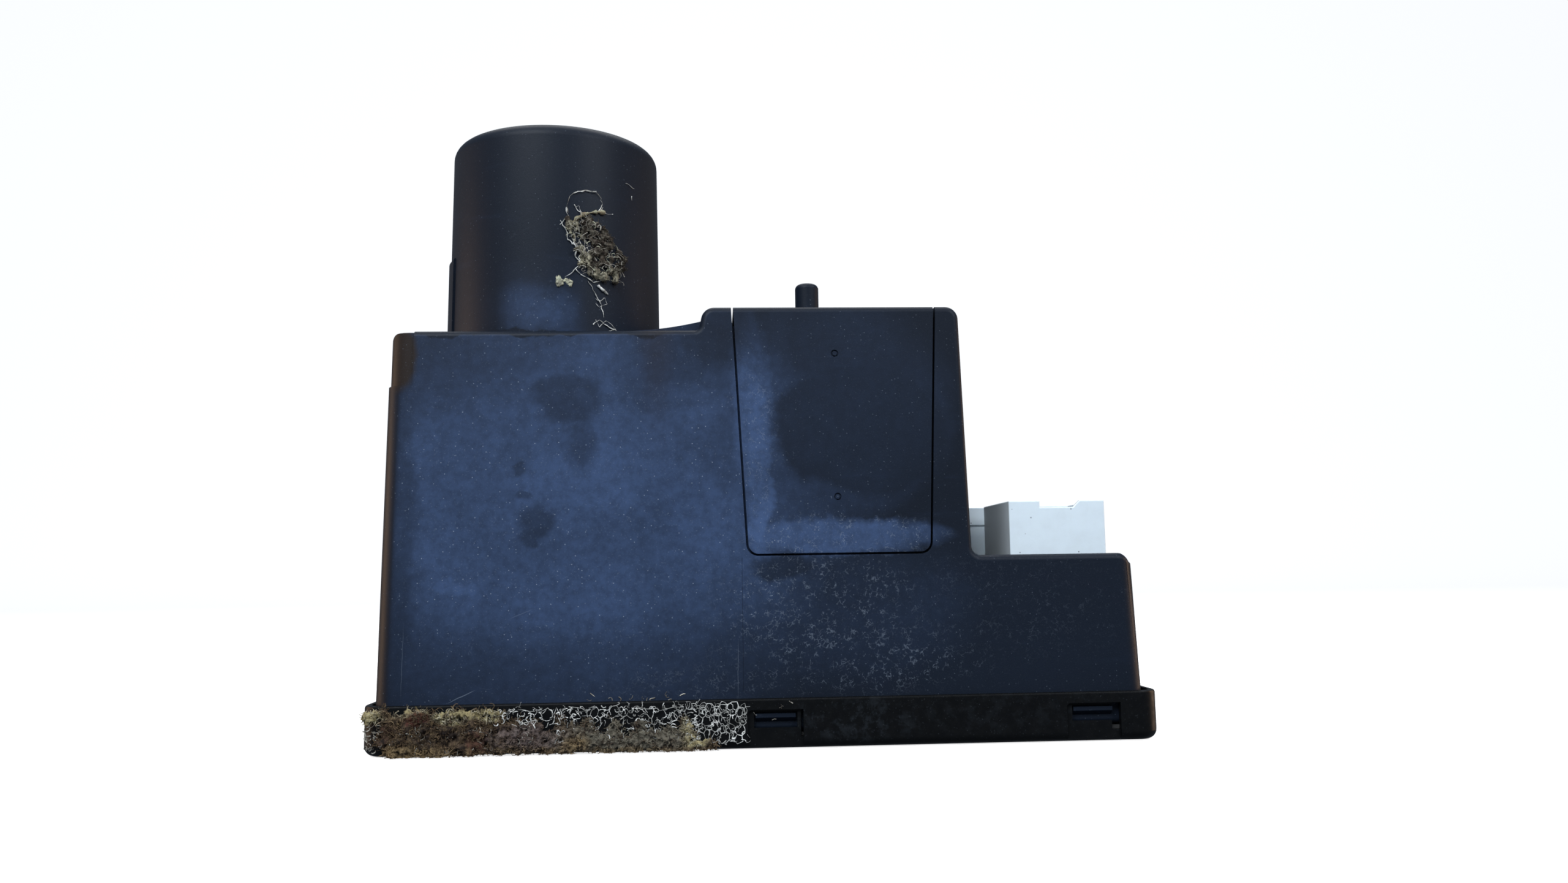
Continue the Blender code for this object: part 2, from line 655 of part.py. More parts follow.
def make_isolators():
    """Three rubber pieces that keep the motor and pump clear of the housing and tray."""
    cap_inner = CAN_RADIUS + GAP
    cap_outer = turret_radius(150 * MM) - WALL - GAP
    cap = [
        (8 * MM, CAN_TOP + GAP), (cap_inner, CAN_TOP + GAP), (cap_inner, CAN_TOP - 9 * MM), (cap_outer, CAN_TOP - 9 * MM),
        (cap_outer - 0.3 * MM, CAN_TOP + 3 * MM), (21 * MM, TURRET_TOP - WALL - 0.6 * MM), (8 * MM, TURRET_TOP - WALL - 0.6 * MM),
    ]
    on_axis("isolator_cap", turned(cap, 32), "rubber")
    ring = tube_levels(turret_radius(112 * MM) - WALL - GAP, CAN_RADIUS + GAP, 101 * MM, 111 * MM)
    on_axis("isolator_ring", turned(ring, 40), "rubber")
    foot = [(12 * MM, 46.3 * MM), (18 * MM, 52 * MM), (18 * MM, 58.4 * MM)]
    on_axis("isolator_foot", stack(foot, 24), "rubber")


PUMP_BODY = 22.5 * MM
PUMP_SCREWS = [radians(a) for a in (63, 183, 303)]
SCREW_RING = 19.6 * MM


def drilled(obj, radius, low, high, at_radius):
    """Drills the three screw holes that run down through the pump."""
    for angle in PUMP_SCREWS:
        hole = stack([(radius, low), (radius, high)], 12)
        centre = (AXIS.x + at_radius * cos(angle), at_radius * sin(angle), 0)
        cut(obj, moved(hole, centre))
    return obj


def make_pump():
    top = PUMP_FLOOR + PUMP_CHAMBER
    centre = Vector((ECCENTRIC, 0, 0))
    ring = on_axis("pump_ring", stack([(PUMP_BODY, PUMP_FLOOR), (PUMP_BODY, top)], 40), "alloy")
    chamber = stack([(CHAMBER_RADIUS, PUMP_FLOOR - 1 * MM), (CHAMBER_RADIUS, top + 1 * MM)], 40)
    cut(ring, moved(chamber, centre + Vector((AXIS.x, 0, 0))))
    drilled(ring, 1.6 * MM, PUMP_FLOOR - 1 * MM, top + 1 * MM, SCREW_RING)

    low, high = top + 0.15 * MM, top + 5.4 * MM
    upper = on_axis("pump_top_plate", turned(tube_levels(PUMP_BODY, SHAFT_RADIUS + 0.3 * MM, low, high), 40), "alloy")
    drilled(upper, 1.6 * MM, low - 1 * MM, high + 1 * MM, SCREW_RING)

    low, high = PUMP_FLOOR - 7.3 * MM, PUMP_FLOOR - 0.15 * MM
    lower = on_axis("pump_bottom_plate", stack([(PUMP_BODY, low), (PUMP_BODY, high)], 40), "alloy")
    pocket = stack([(SHAFT_RADIUS + 0.3 * MM, PUMP_FLOOR - 3 * MM), (SHAFT_RADIUS + 0.3 * MM, PUMP_FLOOR + 1 * MM)], 20)
    cut(lower, moved(pocket, (AXIS.x, 0, 0)))
    drilled(lower, 1.6 * MM, low - 1 * MM, high + 1 * MM, SCREW_RING)
    for angle in (radians(100), radians(260)):
        port = stack([(2.0 * MM, low + 2 * MM), (2.0 * MM, high + 1 * MM)], 16)
        cut(lower, moved(port, (AXIS.x + 9.5 * MM * cos(angle), 9.5 * MM * sin(angle), 0)))
    barb = turned(tube_levels(2.6 * MM, 1.5 * MM, -1 * MM, 9 * MM), 20)
    bmesh.ops.transform(barb, matrix=Matrix.Rotation(pi / 2, 4, "Y"), verts=barb.verts)
    join(lower, moved(barb, (AXIS.x + PUMP_BODY, 0, low + 3.6 * MM)))

    make_rotor(top)
    for i, angle in enumerate(PUMP_SCREWS):
        head = 2.7 * MM
        levels = [(1.4 * MM, PUMP_FLOOR - 6.5 * MM), (1.4 * MM, top + 5.7 * MM), (head, top + 5.7 * MM), (head, top + 7.9 * MM)]
        place = (AXIS.x + SCREW_RING * cos(angle), SCREW_RING * sin(angle), 0)
        new_object(f"pump_screw_{i + 1}", stack(levels, 12), MATERIALS["steel"], place)


def make_rotor(top):
    low, high = PUMP_FLOOR + 0.15 * MM, top - 0.15 * MM
    rotor = on_axis("pump_rotor", turned(tube_levels(ROTOR_RADIUS, SHAFT_RADIUS + 0.25 * MM, low, high), 32), "carbon")
    thick, inner = 1.1 * MM, 6.4 * MM
    for i in range(4):
        angle = pi / 4 + pi / 2 * i
        turn = Matrix.Rotation(angle, 3, "Z")
        slot = box_mesh(inner, ROTOR_RADIUS + 2 * MM, -thick, thick, low - 1 * MM, high + 1 * MM)
        bmesh.ops.rotate(slot, cent=(0, 0, 0), matrix=turn, verts=slot.verts)
        cut(rotor, moved(slot, (AXIS.x, 0, 0)))
        side = thick - 0.15 * MM
        vane = box_mesh(inner + 0.3 * MM, ROTOR_RADIUS - 0.1 * MM, -side, side, low, high)
        bmesh.ops.rotate(vane, cent=(0, 0, 0), matrix=turn, verts=vane.verts)
        on_axis(f"pump_vane_{i + 1}", vane, "carbon")


# ---------------------------------------------------------------- hose, leads and filter
def make_hose():
    start = Vector((AXIS.x + PUMP_BODY + 9.4 * MM, 0, PUMP_FLOOR - 3.7 * MM))
    end = Vector((-10.9 * MM, 0, 54.5 * MM))
    points = [
        start,
        start + Vector((3 * MM, 0, 0)),
        (start + end) / 2 + Vector((0, 1.5 * MM, 0)),
        end - Vector((3 * MM, 0, 0)),
        end,
    ]
    tube_along("air_hose", points, 2.6 * MM, MATERIALS["rubber"])


def make_leads():
    """Two leads from the brush plate down to the control board."""
    for name, y, material in (("red", -5 * MM, "red"), ("black", 5 * MM, "black")):
        points = [
            Vector((AXIS.x - 17 * MM, y * 1.3, 89.9 * MM)),
            Vector((AXIS.x - 22 * MM, y * 1.4, 89.6 * MM)),
            Vector((AXIS.x - 26.8 * MM, y * 1.6, 83 * MM)),
            Vector((AXIS.x - 28.5 * MM, y * 2.5, 62 * MM)),
            Vector((AXIS.x - 26 * MM, y * 3.6, 36 * MM)),
            Vector((AXIS.x - 12 * MM, y * 4.8, 22 * MM)),
            Vector((AXIS.x + 10 * MM, y * 4.9, 19 * MM)),
            Vector((-27 * MM, y * 3.8, 17.5 * MM)),
            Vector((-19 * MM, y * 3.0, 15.4 * MM)),
        ]
        tube_along("motor_lead_" + name, points, 0.9 * MM, MATERIALS[material])


def make_filter():
    """The foam block under the roof that the pump draws its air through."""
    bm = box_mesh(-29 * MM, -15.5 * MM, -13 * MM, 13 * MM, 90 * MM, SEAT_TOP - WALL - GAP)
    new_object("intake_filter", bm, MATERIALS["foam"])


# ---------------------------------------------------------------- control board and sockets
def make_board():
    x0, x1, y0, y1 = BOARD
    corners = [(x0, y0, 2 * MM), (x1, y0, 2 * MM), (x1, y1, 2 * MM), (x0, y1, 2 * MM)]
    rings = [[Vector((p.x, p.y, z)) for p in filleted(corners, 2)] for z in (BOARD_BOTTOM, BOARD_TOP)]
    board = new_object("control_board", loft(rings), MATERIALS["board"])
    for x, y in BOARD_HOLES:
        hole = stack([(1.6 * MM, BOARD_BOTTOM - 1 * MM), (1.6 * MM, BOARD_TOP + 1 * MM)], 12)
        cut(board, moved(hole, (x, y, 0)))


def chamfered_box(x0, x1, y0, y1, z0, z1, edge):
    """A box with its top edge chamfered."""
    ring = [(x0, y0), (x1, y0), (x1, y1), (x0, y1)]
    centre = Vector(((x0 + x1) / 2, (y0 + y1) / 2))
    rings = [[Vector((x, y, z)) for x, y in ring] for z in (z0, z1 - edge)]
    shrunk = []
    for x, y in ring:
        dx = edge if x < centre.x else -edge
        dy = edge if y < centre.y else -edge
        shrunk.append(Vector((x + dx, y + dy, z1)))
    return loft([*rings, shrunk])


def make_components():
    base = BOARD_TOP + 0.2 * MM
    relay = chamfered_box(0, 15.5 * MM, 0, 12 * MM, base, base + 15 * MM, 0.6 * MM)
    new_object("relay_front", moved(relay, (-8 * MM, -26 * MM, 0)), MATERIALS["chip"])
    relay = chamfered_box(0, 15.5 * MM, 0, 12 * MM, base, base + 15 * MM, 0.6 * MM)
    new_object("relay_rear", moved(relay, (-8 * MM, 14 * MM, 0)), MATERIALS["chip"])
    can = [(5 * MM, base), (5 * MM, base + 15 * MM), (4.4 * MM, base + 16 * MM)]
    new_object("smoothing_capacitor", stack(can, 24), MATERIALS["sleeve"], (20 * MM, -20 * MM, 0))
    chip = chamfered_box(0, 14 * MM, 0, 14 * MM, base, base + 1.8 * MM, 0.4 * MM)
    new_object("controller_chip", moved(chip, (26 * MM, -2 * MM, 0)), MATERIALS["chip"])
    sensor = new_object(
        "pressure_sensor",
        chamfered_box(14 * MM, 26 * MM, 14 * MM, 26 * MM, base, base + 6 * MM, 0.5 * MM),
        MATERIALS["chip"],
    )
    port = stack([(1.6 * MM, base + 5 * MM), (1.6 * MM, base + 11 * MM), (1.2 * MM, base + 12 * MM)], 16)
    join(sensor, moved(port, (20 * MM, 20 * MM, 0)))


def make_socket(name, bounds, rows, columns):
    """A tall white plug socket that stands on the board and opens upwards above the shelf."""
    x0, x1, y0, y1 = bounds
    lip = 0.5 * MM
    skirt = 56.2 * MM  # under this height the body stands back a little
    base = BOARD_TOP + 0.3 * MM
    inset = 0 if name == "front" else lip
    body = box_mesh(x0 + inset, x1 - inset, y0 + inset, y1 - inset, base, SOCKET_TOP - 0.2 * MM)
    socket = new_object("socket_" + name, body, MATERIALS["socket"])
    if inset:
        join(socket, box_mesh(x0, x1, y0, y1, skirt, SOCKET_TOP))
    else:
        join(socket, box_mesh(x0 + lip, x1 - lip, y0 + lip, y1 - lip, SOCKET_TOP - 5 * MM, SOCKET_TOP))
        socket_rim(socket, bounds)
    wall = SOCKET_WALL + inset
    floor = SOCKET_TOP - SOCKET_DEPTH
    cut(socket, box_mesh(x0 + wall, x1 - wall, y0 + wall, y1 - wall, floor, SOCKET_TOP + 2 * MM))
    if name == "front":
        notch_low, notch_high = SOCKET_TOP - 1.8 * MM, SOCKET_TOP + 2 * MM
        outline = [
            Vector((73.6 * MM, notch_low)),
            Vector((82.6 * MM, notch_low)),
            Vector((84.4 * MM, SOCKET_TOP)),
            Vector((84.4 * MM, notch_high)),
            Vector((73.6 * MM, notch_high)),
        ]
        cut(socket, plate(outline, y0 - 2 * MM, y0 + 4 * MM))
    middle = (y0 + y1) / 2
    well = box_mesh(x0 + 3.4 * MM, x1 - 3.4 * MM, middle - 5.2 * MM, middle + 5.2 * MM, base - 1 * MM, floor - 3 * MM)
    cut(socket, well)
    pitch = (x1 - x0 - 9 * MM) / (columns - 1)
    comb_low, comb_high = base + 1 * MM, floor - 3.3 * MM
    comb_depth = 2.0 * MM * rows
    comb = new_object(
        "pins_" + name,
        box_mesh(x0 + 3.8 * MM, x1 - 3.8 * MM, middle - comb_depth, middle + comb_depth, comb_low, comb_high),
        MATERIALS["tin"],
    )
    for row in range(rows):
        y = middle + (row - (rows - 1) / 2) * 4 * MM
        for column in range(columns):
            x = x0 + 4.5 * MM + pitch * column
            hole, pin = 0.75 * MM, 0.45 * MM
            cut(socket, box_mesh(x - hole, x + hole, y - hole, y + hole, floor - 4 * MM, floor + 1 * MM))
            join(comb, box_mesh(x - pin, x + pin, y - pin, y + pin, comb_high - 1 * MM, SOCKET_TOP - 5 * MM))


def socket_rim(socket, bounds):
    """Fills the corner step at the top of the front socket, so that its rim is one plain frame."""
    x0, x1, y0, y1 = bounds
    join(socket, box_mesh(x0, x1, y0, y1, SOCKET_TOP - 3 * MM, SOCKET_TOP))


# ---------------------------------------------------------------- assembly
def build():
    clear_scene()
    MATERIALS.update(make_materials())
    make_housing()
    make_tray()
    make_seal()
    make_valve_cover()
    make_manifold()
    for name, centre in VALVES.items():
        make_valve(name, centre)
    make_motor()
    make_isolators()
    make_pump()
    make_hose()
    make_leads()
    make_filter()
    make_board()
    make_components()
    make_socket("front", SOCKET_FRONT, 2, 5)
    make_socket("rear", SOCKET_REAR, 2, 6)


MATERIALS = {}
build()
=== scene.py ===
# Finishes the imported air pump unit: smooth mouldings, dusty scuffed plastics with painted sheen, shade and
# warm reflections, the foam and glue left on the case, the metal and board parts inside, then the studio and
# the camera. Sizes are in millimetres in the dictionaries, and in metres once they reach a mesh.

from math import atan2, cos, pi, radians, sin, tan
from random import Random

import bmesh
import bpy
from mathutils import Matrix, Vector, noise
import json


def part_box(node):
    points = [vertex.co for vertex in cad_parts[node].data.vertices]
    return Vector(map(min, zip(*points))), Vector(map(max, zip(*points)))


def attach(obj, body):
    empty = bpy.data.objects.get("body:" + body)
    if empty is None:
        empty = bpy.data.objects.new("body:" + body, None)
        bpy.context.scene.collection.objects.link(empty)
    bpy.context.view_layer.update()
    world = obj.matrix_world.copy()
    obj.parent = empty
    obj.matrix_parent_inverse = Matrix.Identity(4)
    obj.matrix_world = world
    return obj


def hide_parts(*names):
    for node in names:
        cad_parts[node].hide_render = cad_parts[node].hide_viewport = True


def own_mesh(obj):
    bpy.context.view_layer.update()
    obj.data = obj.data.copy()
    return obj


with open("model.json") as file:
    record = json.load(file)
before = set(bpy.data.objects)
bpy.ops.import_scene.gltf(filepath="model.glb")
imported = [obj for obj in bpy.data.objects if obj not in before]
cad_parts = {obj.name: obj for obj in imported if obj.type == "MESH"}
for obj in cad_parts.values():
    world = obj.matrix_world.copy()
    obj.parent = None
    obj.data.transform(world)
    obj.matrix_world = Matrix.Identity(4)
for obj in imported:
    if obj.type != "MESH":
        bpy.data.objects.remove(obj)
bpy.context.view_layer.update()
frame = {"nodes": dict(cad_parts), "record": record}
mm = 0.001
rootBody = next(iter(frame["record"]["behaviour"]["bodies"]))


# camera
cameraSet = {"place": (-12.2, -338.7, 44.0), "turn": 3.281, "lift": 6.143, "roll": -0.874, "lens": 27.47}


def placeCamera():
    turn, lift, roll = (radians(cameraSet[key]) for key in ("turn", "lift", "roll"))
    ahead = Vector((sin(turn) * cos(lift), cos(turn) * cos(lift), sin(lift)))
    level = Vector((cos(turn), -sin(turn), 0))
    upright = level.cross(ahead)
    right = level * cos(roll) + upright * sin(roll)
    up = upright * cos(roll) - level * sin(roll)
    data = bpy.data.cameras.new("bench_camera")
    data.lens = cameraSet["lens"]
    data.sensor_width = 36
    data.clip_start = 0.01
    eye = bpy.data.objects.new("bench_camera", data)
    turned = Matrix((right, up, -ahead)).transposed().to_4x4()
    eye.matrix_world = Matrix.Translation(Vector(cameraSet["place"]) * mm) @ turned
    bpy.context.scene.collection.objects.link(eye)
    bpy.context.scene.camera = eye


placeCamera()
print("camera placed")


# node helpers; an input is a plain value or another node's socket
def connect(node, inputs):
    for key, value in inputs.items():
        if isinstance(value, bpy.types.NodeSocket):
            node.id_data.links.new(value, node.inputs[key])
        else:
            node.inputs[key].default_value = value


# adds a node and gives its outputs; the tree comes from the sockets it is fed, or is named
def put(kind, inputs=None, tree=None, **settings):
    inputs = inputs or {}
    tree = tree or next(value.id_data for value in inputs.values() if isinstance(value, bpy.types.NodeSocket))
    node = tree.nodes.new(kind)
    for key, value in settings.items():
        setattr(node, key, value)
    connect(node, inputs)
    return node.outputs


def sums(operation, a, b=0.5, clamp=False):
    return put("ShaderNodeMath", {0: a, 1: b}, operation=operation, use_clamp=clamp)[0]


def times(a, b):
    return sums("MULTIPLY", a, b)


def plus(a, b):
    return sums("ADD", a, b)


def vectorSums(operation, a, b=(0, 0, 0), scale=None):
    inputs = {0: a, 1: b} if scale is None else {0: a, "Scale": scale}
    return put("ShaderNodeVectorMath", inputs, operation=operation)["Vector"]


# a smooth step from start to end as value goes from low to high
def ramp(value, low, high, start=0.0, end=1.0):
    inputs = {"Value": value, "From Min": low, "From Max": high, "To Min": start, "To Max": end}
    return put("ShaderNodeMapRange", inputs, interpolation_type="SMOOTHSTEP")["Result"]


def blendColour(factor, first, second):
    return put("ShaderNodeMix", {0: factor, 6: first, 7: second}, data_type="RGBA")[2]


# noise in object space, with features about 1/scale of a metre across
def grain(place, scale, detail=3.0, rough=0.55, stretch=None):
    if stretch:
        place = put("ShaderNodeMapping", {"Vector": place, "Scale": stretch})[0]
    inputs = {"Vector": place, "Scale": scale, "Detail": detail, "Roughness": rough}
    return put("ShaderNodeTexNoise", inputs)["Fac"]


# object coordinates pushed about by noise, for ragged outlines
def warped(place, scale, reach):
    inputs = {"Vector": place, "Scale": scale, "Detail": 4.0, "Roughness": 0.6}
    cloud = put("ShaderNodeTexNoise", inputs)["Color"]
    centred = vectorSums("SUBTRACT", cloud, (0.5, 0.5, 0.5))
    return vectorSums("ADD", place, vectorSums("SCALE", centred, scale=reach))


# 1 inside an oval seen from the front and 0 outside; spot is x, z, half width, half height, softness
def blot(place, spot):
    x, z, wide, high, soft = spot
    centred = vectorSums("SUBTRACT", place, (x * mm, 0, z * mm))
    unit = vectorSums("MULTIPLY", centred, (1 / (wide * mm), 0, 1 / (high * mm)))
    length = put("ShaderNodeVectorMath", {0: unit}, operation="LENGTH")["Value"]
    return ramp(length, 1 - soft, 1 + soft, 1.0, 0.0)


# a thin straight mark from one point to another, seen from the front
def scratch(place, mark):
    x0, z0, x1, z1, wide = mark
    centred = vectorSums("SUBTRACT", place, ((x0 + x1) / 2 * mm, 0, (z0 + z1) / 2 * mm))
    turned = {"Vector": centred, "Angle": atan2(z1 - z0, x1 - x0)}
    reach = ((x1 - x0) ** 2 + (z1 - z0) ** 2) ** 0.5 / 2
    return blot(put("ShaderNodeVectorRotate", turned, rotation_type="Y_AXIS")[0], (0, 0, reach, wide, 0.3))


# the strongest of several ovals, each a spot with its strength at the end
def layered(place, spots):
    total = 0.0
    for spot in spots:
        total = sums("MAXIMUM", times(blot(place, spot[:5]), spot[5]), total)
    return total


# dots of dust: one in each of some of the cells, where the cell's own number is high enough
def dotted(place, scale, near, far, few, fewer):
    cells = put("ShaderNodeTexVoronoi", {"Vector": place, "Scale": scale})
    number = put("ShaderNodeSeparateColor", {0: cells["Color"]})[0]
    return times(ramp(cells["Distance"], near, far, 1.0, 0.0), ramp(number, few, fewer))


# how far a surface faces along an axis
def facing(place, axis):
    normal = put("ShaderNodeNewGeometry", tree=place.id_data)["Normal"]
    return put("ShaderNodeSeparateXYZ", {0: normal})[axis]


# a new material and its object coordinates
def newMaterial(name):
    material = bpy.data.materials.new(name)
    material.use_nodes = True
    return material, put("ShaderNodeTexCoord", tree=material.node_tree)["Object"]


# fills the shader's sockets; bump is a height, a strength and a depth in millimetres
def dress(material, bump=None, **inputs):
    shader = material.node_tree.nodes["Principled BSDF"]
    inputs = {key.replace("_", " "): value for key, value in inputs.items()}
    if bump:
        height, strength, depth = bump
        bumped = {"Height": height, "Strength": strength, "Distance": depth * mm}
        inputs["Normal"] = put("ShaderNodeBump", bumped)[0]
    connect(shader, inputs)
    return material


# the case plastic
casePlastic = {
    "plastic": (0.005, 0.0078, 0.0132, 1),
    # a bluish film of dust, which also carries a painted sheen of the light from the front
    "dustAndSheen": (0.05, 0.087, 0.185, 1),
    "bloom": (0.3, 0.36, 0.45, 1),
    # ovals seen from the front: x, z, half width, half height, softness, strength
    # where the dust film and its painted sheen lie, the turret's low left side included
    "dustAndSheenSpots": [
        (-52, 60, 60, 48, 0.5, 0.62),
        (-66, 47, 28, 15, 0.75, 0.66),
        (-38, 68, 24, 20, 0.7, 0.64),
        (-22, 84, 14, 11, 0.6, 0.66),
        (-3, 78, 6, 24, 0.6, 0.75),
        (20, 53, 24, 5.0, 0.3, 0.74),
        (-1, 66, 4, 22, 0.4, 0.8),
        (18, 34, 34, 16, 0.5, 0.12),
        (50, 30, 42, 20, 0.7, 0.03),
        (-60, 113, 12, 6, 0.8, 0.5),
        (-76, 41, 9, 3, 0.6, 0.8),
        (22, 88, 24, 26, 0.3, 0.3),
    ],
    # where the dust and painted sheen are taken off: rubbed patches, and a painted shadow band
    "cleanAndShadow": [
        (25, 80.5, 22.5, 17.5, 0.1, 0.74),
        (27, 103, 23, 16, 0.22, 0.7),
        (43, 78, 4, 22, 0.3, 0.6),
        (-50, 88, 9, 6, 0.22, 0.5),
        (-47, 76, 3.0, 7, 0.5, 0.4),
        (-57.5, 57, 4.6, 4.6, 0.35, 0.55),
        (-60, 52.5, 2.0, 2.2, 0.4, 0.5),
        (-61.5, 70, 1.8, 1.2, 0.4, 0.5),
        (-60.5, 64, 2.4, 1.0, 0.4, 0.45),
        (4, 45, 8, 3.5, 0.3, 0.7),
        (-28, 94, 13, 9, 0.5, 0.3),
        (-12, 103, 10, 6, 0.5, 0.5),
        (-40, 20, 60, 9, 0.7, 0.4),
        (-93, 60, 4.5, 60, 0.5, 0.45),
        (-80, 97, 20, 9, 0.6, 0.3),
        # painted shadow along the case's top edge at the turret's foot
        (-58, 106.4, 46, 1.0, 0.4, 0.95),
    ],
    # hairline scratches: x and z from, x and z to, half width, strength
    "scratches": [
        (-78.7, 12.7, -72.7, 15.4, 0.09, 0.3), (-90.4, 15, -90.2, 31, 0.07, 0.12),
        (-7.2, 13, -7.0, 26, 0.07, 0.16), (-64, 33, -58.5, 35.2, 0.07, 0.14),
    ],
    # painted warm reflections of the room on the case's left edge and corner relief and on the turret's right
    # edge
    "warmReflections": [
        (-93.6, 99.8, 5.0, 8.8, 0.2, 1.0), (-96.8, 50, 2.2, 70, 0.6, 0.7), (-27.5, 132, 4.5, 40, 0.6, 0.4),
    ],
    # the colour of those painted warm reflections
    "brown": (0.02, 0.0145, 0.0125, 1),
    "water": [
        (12, 36, 24, 12, 0.3, 0.8), (22, 22, 30, 8, 0.4, 0.75), (-18, 16, 20, 4, 0.5, 0.4),
        (20, 53, 24, 5.5, 0.3, 0.9), (-1, 76, 4, 20, 0.4, 0.6), (55, 34, 34, 12, 0.6, 0.2),
    ],
}


def makeCasePlastic():
    material, place = newMaterial("caseplastic")
    plastic, bloom = casePlastic["plastic"], casePlastic["bloom"]
    ragged = warped(warped(place, 60, 0.010), 260, 0.0032)

    # dust with a painted sheen, less where rubbed clean and under the painted shadow band
    dustAndSheenSpots = layered(ragged, casePlastic["dustAndSheenSpots"])
    cleanAndShadow = layered(ragged, casePlastic["cleanAndShadow"])
    clouds = ramp(grain(place, 38, 5, 0.6), 0.3, 0.75, 0.7, 1.15)
    mottle = ramp(grain(place, 420, 5, 0.7), 0.3, 0.7, 0.78, 1.2)
    dustAndSheen = times(times(times(dustAndSheenSpots, clouds), mottle), sums("SUBTRACT", 1.0, cleanAndShadow))
    # rounded edges and side walls are rubbed clean and get none of the painted sheen, which sits only on
    # faces that look forward
    flat = ramp(sums("ABSOLUTE", facing(place, "Y")), 0.9, 0.995, 0.08, 1.0)
    dustAndSheen = sums("ADD", times(dustAndSheen, flat), 0.03, clamp=True)

    # dried water leaves pale thread-like rims
    soaked = layered(ragged, casePlastic["water"])
    bubbles = {"Vector": warped(place, 500, 0.0022), "Scale": 900.0}
    edges = put("ShaderNodeTexVoronoi", bubbles, feature="DISTANCE_TO_EDGE")["Distance"]
    rims = ramp(edges, 0.0, 0.1, 1.0, 0.0)
    broken = ramp(grain(place, 520, 6, 0.75), 0.49, 0.6)
    patchy = ramp(grain(place, 130, 4, 0.6), 0.34, 0.56)
    threads = times(times(rims, broken), times(soaked, patchy))

    # fine pale dust, and a few larger crumbs
    crumbs = dotted(place, 1150.0, 0.08, 0.2, 0.8, 0.86)
    powder = ramp(grain(place, 2600, 2, 0.5), 0.62, 0.74)
    dust = times(plus(times(crumbs, 0.6), times(powder, 0.12)), ramp(dustAndSheen, 0.0, 0.5, 0.22, 1.0))

    # long soft wipes and hairline scratches
    wipes = ramp(grain(place, 34, 6, 0.7, (1.0, 1.0, 5.0)), 0.56, 0.8)
    scuffs = ramp(grain(warped(place, 30, 0.02), 95, 8, 0.75, (1.0, 1.0, 14.0)), 0.64, 0.7)

    colour = blendColour(dustAndSheen, plastic, casePlastic["dustAndSheen"])
    # painted warm reflections along the edges, in brown
    warmReflections = layered(warped(place, 260, 0.0016), casePlastic["warmReflections"])
    colour = blendColour(warmReflections, colour, casePlastic["brown"])
    colour = blendColour(times(wipes, 0.06), colour, casePlastic["dustAndSheen"])
    colour = blendColour(times(scuffs, 0.03), colour, bloom)
    colour = blendColour(times(threads, 0.34), colour, bloom)
    for mark in casePlastic["scratches"]:
        drawn = times(scratch(warped(place, 300, 0.0005), mark[:5]), mark[5])
        colour = blendColour(drawn, colour, bloom)
    colour = blendColour(dust, colour, bloom)

    dull = plus(plus(times(dustAndSheen, 0.22), times(threads, 0.2)), 0.42)
    rough = plus(dull, times(grain(place, 1500, 3), 0.08))
    height = plus(plus(grain(place, 3600, 3, 0.6), times(threads, 0.7)), times(crumbs, 0.9))
    return dress(material, (height, 0.35, 0.06), Base_Color=colour, Roughness=rough, Specular_IOR_Level=0.13)


# the tray plastic
trayPlastic = {
    "plastic": (0.0032, 0.0036, 0.0042, 1), "dust": (0.07, 0.08, 0.09, 1), "tide": (0.022, 0.027, 0.033, 1),
    "stains": [(22, 7, 16, 5, 0.5, 0.4), (60, 8, 26, 5, 0.6, 0.15)],
}


def makeTrayPlastic():
    material, place = newMaterial("trayplastic")
    stain = layered(warped(place, 120, 0.01), trayPlastic["stains"])
    patchy = ramp(grain(place, 300, 6, 0.7), 0.46, 0.62)
    powder = ramp(grain(place, 2400, 2, 0.5), 0.66, 0.75)
    colour = blendColour(times(stain, patchy), trayPlastic["plastic"], trayPlastic["tide"])
    colour = blendColour(times(powder, 0.22), colour, trayPlastic["dust"])
    rough = ramp(grain(place, 500, 4), 0.3, 0.7, 0.34, 0.5)
    bump = (grain(place, 3200, 3, 0.6), 0.3, 0.05)
    return dress(material, bump, Base_Color=colour, Roughness=rough, Specular_IOR_Level=0.12)


# the white sockets
socketPlastic = {
    # the grime colour also paints the shade on faces that look towards the tall section
    "white": (0.7, 0.79, 0.85, 1), "grimeAndShade": (0.2, 0.17, 0.14, 1), "speck": (0.03, 0.035, 0.05, 1),
}


def makeSocketPlastic():
    material, place = newMaterial("socketplastic")
    white, grimeAndShade = socketPlastic["white"], socketPlastic["grimeAndShade"]
    clouds = ramp(grain(place, 160, 5, 0.65), 0.35, 0.8)
    shaded = ramp(facing(place, "X"), -0.4, -0.95)  # painted shade: faces that look towards the tall section are darkened, as if in its shadow
    colour = blendColour(times(clouds, 0.1), white, grimeAndShade)
    colour = blendColour(times(shaded, 0.35), colour, grimeAndShade)
    specks = dotted(place, 560.0, 0.06, 0.14, 0.78, 0.82)
    colour = blendColour(times(specks, 0.8), colour, socketPlastic["speck"])
    bump = (grain(place, 2800, 3, 0.6), 0.2, 0.04)
    return dress(
        material, bump, Base_Color=colour, Roughness=0.5,
        Subsurface_Weight=0.05, Subsurface_Radius=(0.002, 0.002, 0.0015))


